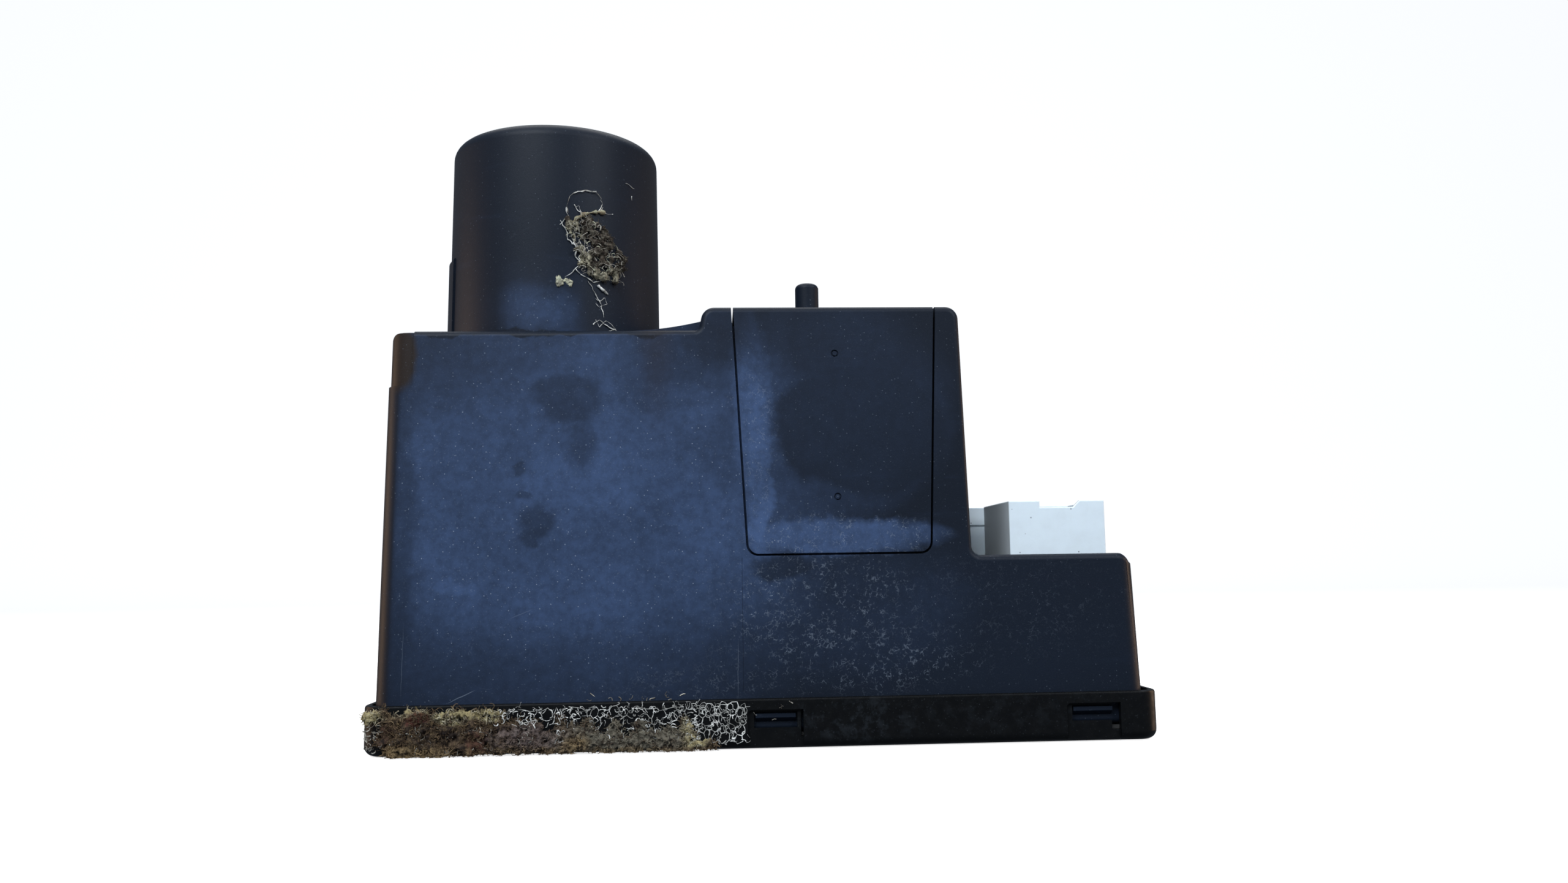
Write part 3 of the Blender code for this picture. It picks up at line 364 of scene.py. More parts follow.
# finishes of the parts inside
innerFinishes = {
    # base colour, second colour, how much of it, pattern scale, roughness low and high, metallic, stretch
    "grey_moulding": ((0.1, 0.1, 0.105), (0.2, 0.19, 0.18), 0.35, 420, 0.42, 0.6, 0.0, None),
    "black_rubber": ((0.018, 0.018, 0.019), (0.085, 0.085, 0.08), 0.5, 700, 0.68, 0.9, 0.0, None),
    "zinc_steel": ((0.62, 0.62, 0.58), (0.5, 0.47, 0.36), 0.5, 180, 0.26, 0.48, 1.0, (1.0, 1.0, 7.0)),
    "ferrite": ((0.045, 0.045, 0.05), (0.1, 0.1, 0.1), 0.4, 1500, 0.55, 0.75, 0.0, None),
    "laminated_iron": ((0.28, 0.27, 0.26), (0.16, 0.1, 0.06), 0.55, 260, 0.4, 0.6, 1.0, (0.1, 0.1, 16.0)),
    "enamelled_copper": (
        (0.53, 0.19, 0.07), (0.3, 0.09, 0.03), 0.6, 240, 0.25, 0.42, 1.0, (0.12, 0.12, 14.0)),
    "graphite": ((0.03, 0.03, 0.034), (0.09, 0.09, 0.1), 0.45, 1900, 0.36, 0.58, 0.3, None),
    "sintered_bronze": ((0.42, 0.27, 0.11), (0.2, 0.12, 0.05), 0.55, 2200, 0.4, 0.62, 1.0, None),
    "die_cast_alloy": ((0.5, 0.5, 0.52), (0.32, 0.32, 0.33), 0.5, 600, 0.36, 0.58, 1.0, None),
    "green_laminate": ((0.012, 0.1, 0.045), (0.03, 0.2, 0.09), 0.5, 340, 0.3, 0.45, 0.0, (1.0, 5.0, 1.0)),
    "component_black": ((0.022, 0.022, 0.024), (0.06, 0.06, 0.062), 0.4, 1400, 0.42, 0.6, 0.0, None),
    "capacitor_sleeve": ((0.02, 0.035, 0.13), (0.05, 0.07, 0.2), 0.4, 300, 0.28, 0.4, 0.0, None),
    "tinned_pin": ((0.7, 0.68, 0.63), (0.5, 0.46, 0.38), 0.5, 900, 0.2, 0.42, 1.0, None),
    "filter_foam": ((0.24, 0.22, 0.15), (0.08, 0.07, 0.05), 0.8, 1300, 0.9, 1.0, 0.0, None),
    "red_lead": ((0.4, 0.025, 0.015), (0.22, 0.01, 0.01), 0.5, 400, 0.4, 0.55, 0.0, None),
    "black_lead": ((0.018, 0.018, 0.018), (0.06, 0.06, 0.06), 0.4, 400, 0.42, 0.6, 0.0, None),
}


def makeInnerFinish(name):
    first, second, amount, scale, low, high, metallic, stretch = innerFinishes[name]
    material, place = newMaterial(name + "finish")
    pattern = grain(place, scale, 5, 0.65, stretch)
    colour = blendColour(times(ramp(pattern, 0.36, 0.7), amount), (*first, 1), (*second, 1))
    rough = ramp(pattern, 0.3, 0.7, low, high)
    return dress(material, (pattern, 0.3, 0.06), Base_Color=colour, Roughness=rough, Metallic=metallic)


finishes = {name: makeInnerFinish(name) for name in innerFinishes}
finishes["black_moulding"] = makeCasePlastic()
finishes["black_tray"] = makeTrayPlastic()
finishes["white_socket"] = makeSocketPlastic()
for node in frame["nodes"].values():
    for holder in node.material_slots:
        wanted = holder.material.name.split(".")[0]
        holder.material = finishes.get(wanted, finishes["component_black"])
        if wanted not in finishes:
            print("no finish for", wanted, "on", node.name)
print("finishes made")


# mesh helpers
def pieceFrom(name, bm, material, recalc=True):
    if recalc:
        bmesh.ops.recalc_face_normals(bm, faces=bm.faces)
    mesh = bpy.data.meshes.new(name)
    bm.to_mesh(mesh)
    bm.free()
    mesh.materials.append(material)
    piece = bpy.data.objects.new(name, mesh)
    bpy.context.scene.collection.objects.link(piece)
    return piece


# applies the modifiers on a piece
def settle(piece):
    bpy.context.view_layer.update()
    graph = bpy.context.evaluated_depsgraph_get()
    mesh = bpy.data.meshes.new_from_object(piece.evaluated_get(graph))
    piece.modifiers.clear()
    piece.data = mesh
    return piece


def combine(piece, bm, operation, solver="EXACT"):
    helper = pieceFrom("helper", bm, piece.data.materials[0])
    modifier = piece.modifiers.new("shape", "BOOLEAN")
    modifier.operation, modifier.solver, modifier.object = operation, solver, helper
    settle(piece)
    bpy.data.objects.remove(helper)
    return piece


def cut(piece, bm):
    return combine(piece, bm, "DIFFERENCE")


def join(piece, bm):
    return combine(piece, bm, "UNION")


def taken(piece):
    bm = bmesh.new()
    bm.from_mesh(piece.data)
    bpy.data.objects.remove(piece)
    return bm


def rounded(piece, width, segments, angle=40):
    modifier = piece.modifiers.new("rounding", "BEVEL")
    modifier.width, modifier.segments = width, segments
    modifier.limit_method, modifier.angle_limit = "ANGLE", radians(angle)
    modifier.use_clamp_overlap = False
    return settle(piece)


# smooth on the curves and flat on the flats
def smoothed(piece, angle=32):
    piece.data.shade_smooth()
    piece.data.set_sharp_from_angle(angle=radians(angle))
    modifier = piece.modifiers.new("flats", "WEIGHTED_NORMAL")
    modifier.keep_sharp = True
    return piece


# a finished piece rides on the case's body; node is the solid that it stands for
def fit(piece, node=None):
    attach(piece, rootBody)
    if node:
        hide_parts(node)
    return piece


def loft(rings):
    bm = bmesh.new()
    rows = [[bm.verts.new(point) for point in ring] for ring in rings]
    count = len(rows[0])
    for low, high in zip(rows, rows[1:]):
        for i in range(count):
            j = (i + 1) % count
            bm.faces.new((low[i], low[j], high[j], high[i]))
    bm.faces.new(list(reversed(rows[0])))
    bm.faces.new(rows[-1])
    return bm


# a ring turned from a closed profile of (radius, z) in millimetres
def lathe(profile, sides, centre=(0, 0)):
    bm = bmesh.new()
    x, y = centre
    columns = []
    for i in range(sides):
        angle = 2 * pi * i / sides
        column = [Vector((x + r * cos(angle), y + r * sin(angle), z)) * mm for r, z in profile]
        columns.append([bm.verts.new(point) for point in column])
    for i in range(sides):
        here, there = columns[i], columns[(i + 1) % sides]
        for k in range(len(profile)):
            n = (k + 1) % len(profile)
            bm.faces.new((here[k], there[k], there[n], here[n]))
    return bm


def stack(levels, sides, centre=(0, 0)):
    turns = [2 * pi * i / sides for i in range(sides)]
    x, y = centre
    return loft([[Vector((x + r * cos(a), y + r * sin(a), z)) * mm for a in turns] for r, z in levels])


def block(x0, x1, y0, y1, z0, z1):
    corners = ((x0, y0), (x1, y0), (x1, y1), (x0, y1))
    return loft([[Vector((x, y, z)) * mm for x, y in corners] for z in (z0, z1)])


# a closed outline from (u, v, radius) corners, in millimetres
def filleted(corners, steps):
    outline = []
    for i, (u, v, radius) in enumerate(corners):
        here = Vector((u, v))
        back = (Vector(corners[i - 1][:2]) - here).normalized()
        ahead = (Vector(corners[(i + 1) % len(corners)][:2]) - here).normalized()
        if radius <= 0:
            outline.append(here)
            continue
        half = back.angle(ahead) / 2
        centre = here + (back + ahead).normalized() * (radius / sin(half))
        start = here + back * (radius / tan(half)) - centre
        end = here + ahead * (radius / tan(half)) - centre
        begin = atan2(start.y, start.x)
        sweep = (atan2(end.y, end.x) - begin + pi) % (2 * pi) - pi
        for k in range(steps + 1):
            angle = begin + sweep * k / steps
            outline.append(centre + Vector((cos(angle), sin(angle))) * radius)
    return outline


def planRing(x0, x1, half, leftRadius, rightRadius, z, steps=10):
    corners = [
        (x0, -half, leftRadius), (x1, -half, rightRadius), (x1, half, rightRadius), (x0, half, leftRadius)]
    return [Vector((p.x, p.y, z)) * mm for p in filleted(corners, steps)]


# an outline of (x, z) pushed from y0 to y1
def plate(outline, y0, y1):
    return loft([[Vector((p[0], y, p[1])) * mm for p in outline] for y in (y0, y1)])


# the case
case = {
    "bottom": 4.0, "rim": 12.3, "halfDepth": 33.65, "frontLean": 1.45, "wall": 2.4,
    "seatTop": 106.7, "tallTop": 112.8, "shelfTop": 47.2, "leftEnd": -98.0, "rightEnd": 97.4,
    "leftLean": 0.8, "rightLean": 1.7, "stepLean": 1.35, "stepLeft": -15.2, "stepRight": 54.7,
    "edge": 1.6, "corners": (6.0, 5.0), "latches": (-82.5, 2.1, 82.5), "marks": (62.7, 100.2),
}
turret = {
    "x": -57.3, "radius": 29.3, "lean": 0.7, "top": 163.8, "edge": 3.7, "padTop": 130.4, "padThick": 0.6,
}
cover = {"gap": 0.55, "bottom": 48.3, "left": (-4.0, -7.4), "right": (42.6, 45.4), "corner": 2.6}
nozzle = {
    "radius": 3.2, "top": 121.9, "tip": 1.4, "bore": 1.3,
    "shank": 3.6, "collar": 6.6, "foot": 80, "step": 99.4,
    "places": {"front": (13.1, -17.0), "rear": (15.8, 17.0)},
}


def halfDepth(z):
    return case["halfDepth"] - (z - case["rim"]) * tan(radians(case["frontLean"]))


def leftWall(z):
    return case["leftEnd"] + z * tan(radians(case["leftLean"]))


def rightWall(z):
    return case["rightEnd"] - z * tan(radians(case["rightLean"]))


def stepWall(z):
    return case["stepRight"] - z * tan(radians(case["stepLean"]))


def turretRadius(z):
    return turret["radius"] - (z - case["seatTop"]) * tan(radians(turret["lean"]))


def silhouette(inset, low):
    seat, tall, shelf = (case[key] - inset for key in ("seatTop", "tallTop", "shelfTop"))
    left, step, right = (max(r - inset, 0.6) for r in (3.2, 3.4, 4.6))
    stepLeft = case["stepLeft"]
    corners = [
        (leftWall(low) + inset, low, 0),
        (rightWall(low) - inset, low, 0),
        (rightWall(shelf) - inset, shelf, right),
        (stepWall(shelf) - inset, shelf, 2.4 + inset),
        (stepWall(tall) - inset, tall, step),
        (stepLeft + inset, tall, step),
        (stepLeft - 1.2 + inset, seat, 1.4 + inset / 2),
        (leftWall(seat) + inset, seat, left),
    ]
    return filleted(corners, 8)


def caseBlock(inset, low):
    solid = pieceFrom("case_block", plate(silhouette(inset, low), -40, 40), finishes["black_moulding"])
    rings = []
    for z in (low - 1, case["shelfTop"], case["tallTop"] + 1):
        right = rightWall(min(z, case["shelfTop"])) - inset
        left, far = (radius - inset for radius in case["corners"])
        rings.append(planRing(leftWall(z) + inset, right, halfDepth(z) - inset, left, far, z))
    return combine(solid, loft(rings), "INTERSECT")


def coverOutline(grow):
    top = case["tallTop"] + 2
    rise = top - cover["bottom"]
    height = case["tallTop"] - cover["bottom"]
    left, right = cover["left"], cover["right"]
    corners = [
        (left[0] - grow, cover["bottom"] - grow, cover["corner"] + grow),
        (right[0] + grow, cover["bottom"] - grow, cover["corner"] + grow),
        (right[0] + (right[1] - right[0]) / height * rise + grow, top, 0),
        (left[0] + (left[1] - left[0]) / height * rise - grow, top, 0),
    ]
    return filleted(corners, 8)


def turretLevels(inset, low, high, edge):
    levels = [(turretRadius(low) - inset, low)]
    rim = turretRadius(high) - inset
    for k in range(9):
        angle = pi / 2 * k / 8
        levels.append((rim - edge * (1 - cos(angle)), high - edge * (1 - sin(angle))))
    return levels


# the raised strip low on the turret's left side
def turretPad():
    outer = turretRadius(case["seatTop"]) + turret["padThick"]
    turns = [radians(152 + 56 * i / 16) for i in range(17)]
    ring = [(outer, a) for a in turns] + [(outer - 2, a) for a in reversed(turns)]
    rings = []
    for z, drop in ((case["seatTop"] - 1, 0), (turret["padTop"] - 0.6, 0.28), (turret["padTop"], 0.7)):
        turned = [((r - drop) * cos(a), (r - drop) * sin(a)) for r, a in ring]
        rings.append([Vector((turret["x"] + x, y, z)) * mm for x, y in turned])
    return loft(rings)


# what the shallow relief round the top of a left corner takes away
def cornerRelief(side):
    near, far = sorted((side * 14, side * 40))
    bar = block(-99, -89.4, near, far, 92.4, case["seatTop"] + 1)
    relief = pieceFrom("relief", bar, finishes["black_moulding"])
    return taken(cut(relief, taken(caseBlock(0.5, case["bottom"]))))


# the air duct's curved top between the turret and the tall section
def ductTop():
    start, end = -38, case["stepLeft"] + 2.5
    rise = [(start + (end - start) * t / 12, 108.8 + 3.4 * (t / 12) ** 2) for t in range(13)]
    return plate([(end, 104), *reversed(rise), (start, 104)], -19, 19)


def latchHook(x, side):
    inner, outer = halfDepth(8) - 1.2, 35.1
    section = [(inner, 5.4), (inner, 8.8), (outer, 8.6), (outer, 7.6)]
    rings = [[Vector((x + dx, -y if side < 0 else y, z)) * mm for y, z in section] for dx in (-5.0, 5.0)]
    return loft(rings)


# a hair of flash down the front wall where the mould halves met
def partingLine():
    rings = []
    for z in (13.8, 47.4):
        y = -halfDepth(z)
        ridge = ((-5.95, y + 0.5), (-5.8, y - 0.07), (-5.65, y + 0.5))
        rings.append([Vector((x, out, z)) * mm for x, out in ridge])
    return loft(rings)


def makeCase():
    shell = rounded(caseBlock(0, case["bottom"]), case["edge"] * mm, 5)
    join(shell, ductTop())
    centre = (turret["x"], 0)
    join(shell, stack(turretLevels(0, case["seatTop"] - 6, turret["top"], turret["edge"]), 144, centre))
    join(shell, turretPad())
    for side in (-1, 1):
        combine(shell, cornerRelief(side), "DIFFERENCE", "MANIFOLD")
    wall = case["wall"]
    cut(shell, taken(caseBlock(wall, case["bottom"] - 3)))
    inside = turretLevels(wall, case["seatTop"] - 8, turret["top"] - wall, turret["edge"] - 1.5)
    cut(shell, stack(inside, 96, centre))
    for side in (-1, 1):
        for x in case["latches"]:
            join(shell, latchHook(x, side))
    join(shell, partingLine())
    cut(shell, plate(coverOutline(cover["gap"]), -72, 72))
    for node in ("socket_front", "socket_rear"):
        low, high = (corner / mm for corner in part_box(node))
        shelf = case["shelfTop"]
        cut(shell, block(low.x - 0.3, high.x + 0.3, low.y - 0.3, high.y + 0.3, shelf - 6, shelf + 3))
    shell.name = "case_shell"
    fit(smoothed(shell), "housing")


def makeCover():
    saddle = rounded(caseBlock(0, case["bottom"]), case["edge"] * mm, 5)
    combine(saddle, plate(coverOutline(0), -72, 72), "INTERSECT")
    cut(saddle, taken(caseBlock(case["wall"], case["bottom"])))
    for centre in nozzle["places"].values():
        cut(saddle, stack([(nozzle["radius"] + 0.3, 105), (nozzle["radius"] + 0.3, 118)], 48, centre))
    for z in case["marks"]:
        mark = lathe([(0.95, -0.4), (0.6, -0.4), (0.6, 1), (0.95, 1)], 32)
        bmesh.ops.transform(mark, matrix=Matrix.Rotation(pi / 2, 4, "X"), verts=mark.verts)
        bmesh.ops.translate(mark, vec=Vector((19, -halfDepth(z), z)) * mm, verts=mark.verts)
        cut(saddle, mark)
    saddle.name = "cover_saddle"
    fit(smoothed(saddle), "valve_cover")


# a thin ledge inside the case, behind the gap round the cover
def makeCoverLedge():
    ledge = caseBlock(case["wall"] + 0.1, case["bottom"])
    combine(ledge, plate([(p.x, min(p.y, 108.0)) for p in coverOutline(2.0)], -40, 40), "INTERSECT")
    cut(ledge, plate([(p.x, min(p.y, 109.0)) for p in coverOutline(-2.4)], -40, 40))
    cut(ledge, taken(caseBlock(case["wall"] + 1.1, case["bottom"] - 1)))
    ledge.name = "cover_ledge"
    fit(smoothed(ledge))


def makeNozzles():
    radius, top, tip, bore, shank, collar, foot, step = list(nozzle.values())[:8]
    shoulder = case["tallTop"] - case["wall"] - 0.4
    for name, centre in nozzle["places"].items():
        profile = [
            (bore, foot), (shank, foot), (shank, step), (collar, step),
            (collar, shoulder), (radius, shoulder), (radius, top - tip),
        ]
        for k in range(1, 7):
            a = pi / 2 * k / 6
            profile.append((radius - tip * (1 - cos(a)), top - tip * (1 - sin(a))))
        profile.append((bore, top))
        spout = pieceFrom("nozzle_" + name, lathe(profile, 56, centre), finishes["black_moulding"])
        fit(smoothed(spout), "valve_nipple_" + name)


makeCase()
makeCover()
makeCoverLedge()
makeNozzles()
print("case, cover and nozzles made")


# the tray
tray = {
    "height": 12.3, "wall": 1.7, "corners": (6.5, 5.5), "edge": 2.4,
    "windowTop": 9.6, "windowHalf": 6.9, "hookHalf": 5.4,
}


def trayRing(inset, z):
    low, high = (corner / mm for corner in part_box("base_tray"))
    left, right = (max(radius - inset, 1) for radius in tray["corners"])
    return planRing(low.x + inset, high.x - inset, high.y - inset, left, right, z)


def windowOutline(x):
    half, top = tray["windowHalf"], tray["windowTop"]
    return filleted([(x - half, -1, 0), (x + half, -1, 0), (x + half, top, 0.9), (x - half, top, 0.9)], 5)


def makeTray():
    edge = tray["edge"]
    rings = [trayRing(edge * (1 - sin(a)), edge * (1 - cos(a))) for a in (pi / 2 * k / 6 for k in range(7))]
    for inset, drop in ((0, 0.6), (0.2, 0.15), (0.5, 0)):
        rings.append(trayRing(inset, tray["height"] - drop))
    pan = pieceFrom("tray_pan", loft(rings), finishes["black_tray"])
    cut(pan, loft([trayRing(tray["wall"], z) for z in (tray["wall"], tray["height"] + 1)]))
    for side in (-1, 1):
        outer = 36 * side
        for x in case["latches"]:
            near, far = sorted((outer + side, outer - side * 0.7))
            cut(pan, plate(windowOutline(x), near, far))
            near, far = sorted((outer + side, outer - side * 3))
            cut(pan, block(x - tray["hookHalf"], x + tray["hookHalf"], near, far, 5.1, 9.1))
            slot = 2.2 if abs(x) > 50 else 0.6
            start = x + tray["windowHalf"] - slot if x > 0 else x - tray["windowHalf"]
            cut(pan, block(start, start + slot, near, far, 2.9, tray["windowTop"]))
    for x in (-24, 52):
        for y in (-24.5, 25.5):
            levels = [(3.4, 1.5), (3.4, 12.2), (1.3, 12.2), (1.3, 14.6), (0.9, 15.2)]
            join(pan, stack(levels, 32, (x, y)))
    join(pan, stack([(11, 1.5), (9, 46)], 48, (turret["x"], 0)))
    pan.name = "tray_pan"
    fit(smoothed(pan), "base_tray")


makeTray()
print("tray made")


# the plug sockets
socket = {"top": 61.4, "wall": 1.5, "deep": 15.0, "step": 56.2, "edge": 0.28, "notch": (73.6, 82.6, 84.4)}


def makeSocket(name):
    low, high = (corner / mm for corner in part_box("socket_" + name))
    inset = 0.0 if name == "front" else 0.5
    sides = (low.x + inset, high.x - inset, low.y + inset, high.y - inset)
    shell = pieceFrom("plug_socket_" + name, block(*sides, low.z, high.z - 0.4), finishes["white_socket"])
    step = socket["step"] if inset else high.z - 3
    join(shell, block(low.x, high.x, low.y, high.y, step, high.z))
    wall = socket["wall"] + inset
    floor = socket["top"] - socket["deep"]
    cut(shell, block(low.x + wall, high.x - wall, low.y + wall, high.y - wall, floor, high.z + 2))
    if name == "front":
        left, right, slant = socket["notch"]
        top = socket["top"]
        outline = [(left, top - 1.8), (right, top - 1.8), (slant, top), (slant, top + 2), (left, top + 2)]
        cut(shell, plate(outline, low.y - 2, low.y + 4))
    rounded(shell, socket["edge"] * mm, 3, 60)
    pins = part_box("pins_" + name)
    middle = (pins[0].y + pins[1].y) / 2 / mm
    cut(shell, block(low.x + 3.4, high.x - 3.4, middle - 5.2, middle + 5.2, low.z - 1, floor - 3))
    columns = 5 if name == "front" else 6
    pitch = (high.x - low.x - 9) / (columns - 1)
    for row in (-2, 2):
        for column in range(columns):
            x, y = low.x + 4.5 + pitch * column, middle + row
            cut(shell, block(x - 0.75, x + 0.75, y - 0.75, y + 0.75, floor - 4, floor + 1))
    fit(smoothed(shell), "socket_" + name)


makeSocket("front")
makeSocket("rear")
print("sockets made")


# the valves' return springs, which shorten as the plungers rise
spring = {"turns": 4, "steps": 28, "sides": 10, "wire": 0.28, "radius": 2.85, "stroke": 1.5}


def makeSprings():
    wire, radius = spring["wire"] * mm, spring["radius"] * mm
    for side, (x, y) in nozzle["places"].items():
        low, high = (corner[2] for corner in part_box("valve_spring_" + side))
        count = spring["turns"] * spring["steps"]
        rings = []
        for i in range(count + 1):
            angle = 2 * pi * i / spring["steps"]
            z = low + wire + (high - low - 2 * wire) * i / count
            around = [2 * pi * k / spring["sides"] for k in range(spring["sides"])]
            reach = [(radius + wire * cos(a), z + wire * sin(a)) for a in around]
            rings.append([Vector((x * mm + r * cos(angle), y * mm + r * sin(angle), h)) for r, h in reach])
        coil = pieceFrom("coil_spring_" + side, loft(rings), finishes["tinned_pin"])
        coil.data.shade_smooth()
        fit(coil, "valve_spring_" + side)
        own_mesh(coil)


makeSprings()
print("springs made")


# the foam and glue left on the case
residue = {
    "voxel": 0.34, "back": -35.6, "front": -37.8,
    # lumps of foam along the tray: x, z, half width, half height, thickness
    "lumps": [
        (-97.2, 9.4, 1.8, 1.5, 0.7), (-94.4, 10.6, 1.8, 1.0, 0.8), (-91.5, 5.0, 3.4, 4.6, 1.2),
        (-87, 5.8, 4.5, 5.2, 1.4), (-83, 3.0, 5.5, 2.8, 1.5), (-80, 6.6, 4.6, 4.2, 1.3),
        (-75.5, 4.0, 3.0, 3.6, 1.4), (-71.5, 5.0, 3.8, 5.0, 1.5), (-79.2, 9.2, 2.4, 1.0, 1.1),
        (-75.2, 10.2, 2.0, 0.9, 1.0), (-72.6, 9.2, 1.8, 1.0, 1.0), (-69.4, 10.6, 2.2, 0.9, 0.9),
        (-86, 10.0, 3.4, 1.3, 1.2), (-65, 3.6, 4.4, 3.2, 1.1), (-59.5, 3.4, 4.6, 3.2, 1.0),
        (-66.2, 8.6, 1.6, 2.4, 0.6), (-54, 2.8, 4.4, 2.6, 0.9), (-49, 3.6, 3.8, 3.6, 1.0),
        (-44, 3.0, 4.2, 2.8, 0.9), (-39, 2.6, 4.2, 2.4, 0.8), (-34, 2.6, 4.2, 2.4, 0.8),
        (-29, 2.8, 4.0, 2.6, 0.8), (-24, 2.8, 3.4, 2.8, 0.9), (-19.8, 2.6, 2.2, 3.0, 0.8),
        (-62.0, 6.6, 2.2, 2.0, 0.5), (-57.0, 6.2, 2.0, 2.2, 0.45), (-51.0, 7.0, 1.6, 2.0, 0.4),
        (-44.5, 6.4, 2.0, 1.8, 0.4), (-38.0, 5.8, 1.8, 1.8, 0.4), (-31.5, 6.2, 1.6, 1.6, 0.4),
        (-20.2, 6.0, 1.5, 2.4, 0.5), (-15.2, 1.5, 2.6, 1.2, 0.6), (-88.5, 1.4, 4.0, 1.3, 1.7),
        (-80.5, 1.3, 3.2, 1.2, 1.7), (-73.6, 2.4, 1.6, 2.4, 1.6),
    ],
    # the chunk on the turret: outline of (x, z) seen from the front
    "chunk": [
        (-50.7, 137.6), (-48.7, 137.0), (-46.4, 137.9), (-44.1, 137.0), (-41.5, 134.9), (-40.1, 132.8),
        (-38.4, 130.8), (-36.4, 127.8), (-37.0, 125.2), (-36.0, 122.5), (-37.8, 121.1), (-40.4, 121.4),
        (-43.0, 121.7), (-45.0, 122.5), (-47.2, 125.2), (-47.8, 127.2), (-49.0, 131.9), (-51.0, 135.8),
    ],
}


# mixed brown, olive and straw colours for foam, by place
def makeFoam(name, dark, mid, pale, patches=()):
    material, place = newMaterial(name)
    dark, mid, pale = (foamTints[tint] for tint in (dark, mid, pale))
    fine = ramp(grain(place, 900, 4, 0.7), 0.36, 0.66)
    colour = blendColour(ramp(grain(place, 170, 3, 0.6), 0.38, 0.66), dark, mid)
    colour = blendColour(times(fine, 0.55), colour, pale)
    for tint, strength, spots in patches:
        spread = layered(warped(place, 260, 0.005), foamPatches[spots])
        colour = blendColour(times(spread, strength), colour, foamTints[tint])
    colour = blendColour(ramp(grain(place, 560, 6, 0.8), 0.4, 0.54, 0.92, 0.0), colour, dark)
    rough = ramp(fine, 0.0, 1.0, 0.75, 0.92)
    bump = (grain(place, 2300, 5, 0.7), 0.8, 0.18)
    return dress(material, bump, Base_Color=colour, Roughness=rough, Specular_IOR_Level=0.2)


def makeGlue(name, white, grey):
    material, place = newMaterial(name)
    colour = blendColour(ramp(grain(place, 420, 4, 0.65), 0.36, 0.66), grey, white)
    return dress(material, (grain(place, 3000, 3), 0.4, 0.06), Base_Color=colour, Roughness=0.42)


foamTints = {
    "brown": (0.085, 0.054, 0.034, 1), "umber": (0.014, 0.009, 0.007, 1), "drab": (0.16, 0.115, 0.07, 1),
    "tan": (0.27, 0.19, 0.095, 1), "straw": (0.48, 0.41, 0.21, 1), "cream": (0.66, 0.62, 0.45, 1),
    "rust": (0.075, 0.018, 0.014, 1), "ash": (0.2, 0.19, 0.15, 1), "mauve": (0.16, 0.125, 0.12, 1),
    "felt": (0.085, 0.066, 0.052, 1), "moss": (0.2, 0.2, 0.12, 1), "lichen": (0.42, 0.46, 0.34, 1),
}
# where each tint lies: ovals seen from the front, as on the case
foamPatches = {
    "straws": [
        (-98, 10, 4.5, 2.4, 0.4, 1.0), (-87, 11, 3.5, 1.2, 0.4, 0.7), (-77, 9.8, 5, 1.4, 0.4, 0.9),
        (-69, 10.2, 4, 1.5, 0.4, 0.9), (-19, 6, 2.4, 3.5, 0.5, 0.8), (-18, 2.5, 3, 1.6, 0.5, 0.9),
    ],
    "fringes": [
        (-86, 1.0, 9, 1.8, 0.5, 1.0), (-74, 0.8, 5, 1.0, 0.5, 0.6), (-58, 0.6, 9, 1.2, 0.5, 0.7),
        (-47.5, 2, 3, 2.6, 0.5, 0.9), (-36, 0.4, 18, 0.9, 0.5, 0.7),
    ],
    "mauves": [(-58, 4, 9, 3.5, 0.5, 1.0)],
    "rusts": [(-85.5, 9.4, 2.6, 1.6, 0.4, 1.0), (-71, 3, 2.5, 3.5, 0.4, 0.6), (-93, 6, 2.0, 3.0, 0.5, 0.3)],
    "olives": [(-34, 4, 16, 6, 0.5, 1.0)],
    # painted shade in crevices and gaps between the lumps, in the darkest umber
    "creviceShade": [
        (-77.7, 5.5, 2.6, 1.3, 0.4, 1.0), (-84, 4, 1.2, 2, 0.5, 0.8), (-74.6, 1.6, 0.8, 1.8, 0.4, 1.0),
        (-67.1, 6, 0.4, 4, 0.5, 1.0),
    ],
    "pales": [
        (-49.2, 133, 1.6, 5.0, 0.5, 1.0), (-46.6, 126.5, 1.6, 3.5, 0.5, 0.9),
        (-42, 122.2, 4.5, 1.0, 0.5, 0.7), (-38.5, 123.5, 2, 1.6, 0.5, 0.5),
    ],
}
foams = {
    "tray": makeFoam("trayfoam", "umber", "brown", "drab", [
        ("mauve", 0.7, "mauves"), ("ash", 0.6, "olives"), ("tan", 0.7, "fringes"), ("straw", 0.7, "straws"),
        ("rust", 0.8, "rusts"), ("umber", 0.9, "creviceShade")]),
    "turret": makeFoam("turretfoam", "umber", "felt", "ash", [("cream", 0.65, "pales")]),
    "flake": makeFoam("flakefoam", "ash", "lichen", "cream"),
    "straw": makeFoam("trayfibre", "brown", "drab", "tan", [
        ("mauve", 0.7, "mauves"), ("ash", 0.8, "olives"), ("tan", 0.9, "fringes"), ("cream", 0.75, "straws"),
        ("brown", 0.75, "rusts"), ("umber", 0.8, "creviceShade")]),
    "stalk": makeFoam("strawfoam", "drab", "moss", "lichen"),
}
foams["white"] = makeGlue("driedglue", (0.86, 0.86, 0.83, 1), (0.27, 0.27, 0.25, 1))
foams["ashen"] = makeGlue("ashenglue", (0.46, 0.44, 0.38, 1), (0.12, 0.105, 0.085, 1))


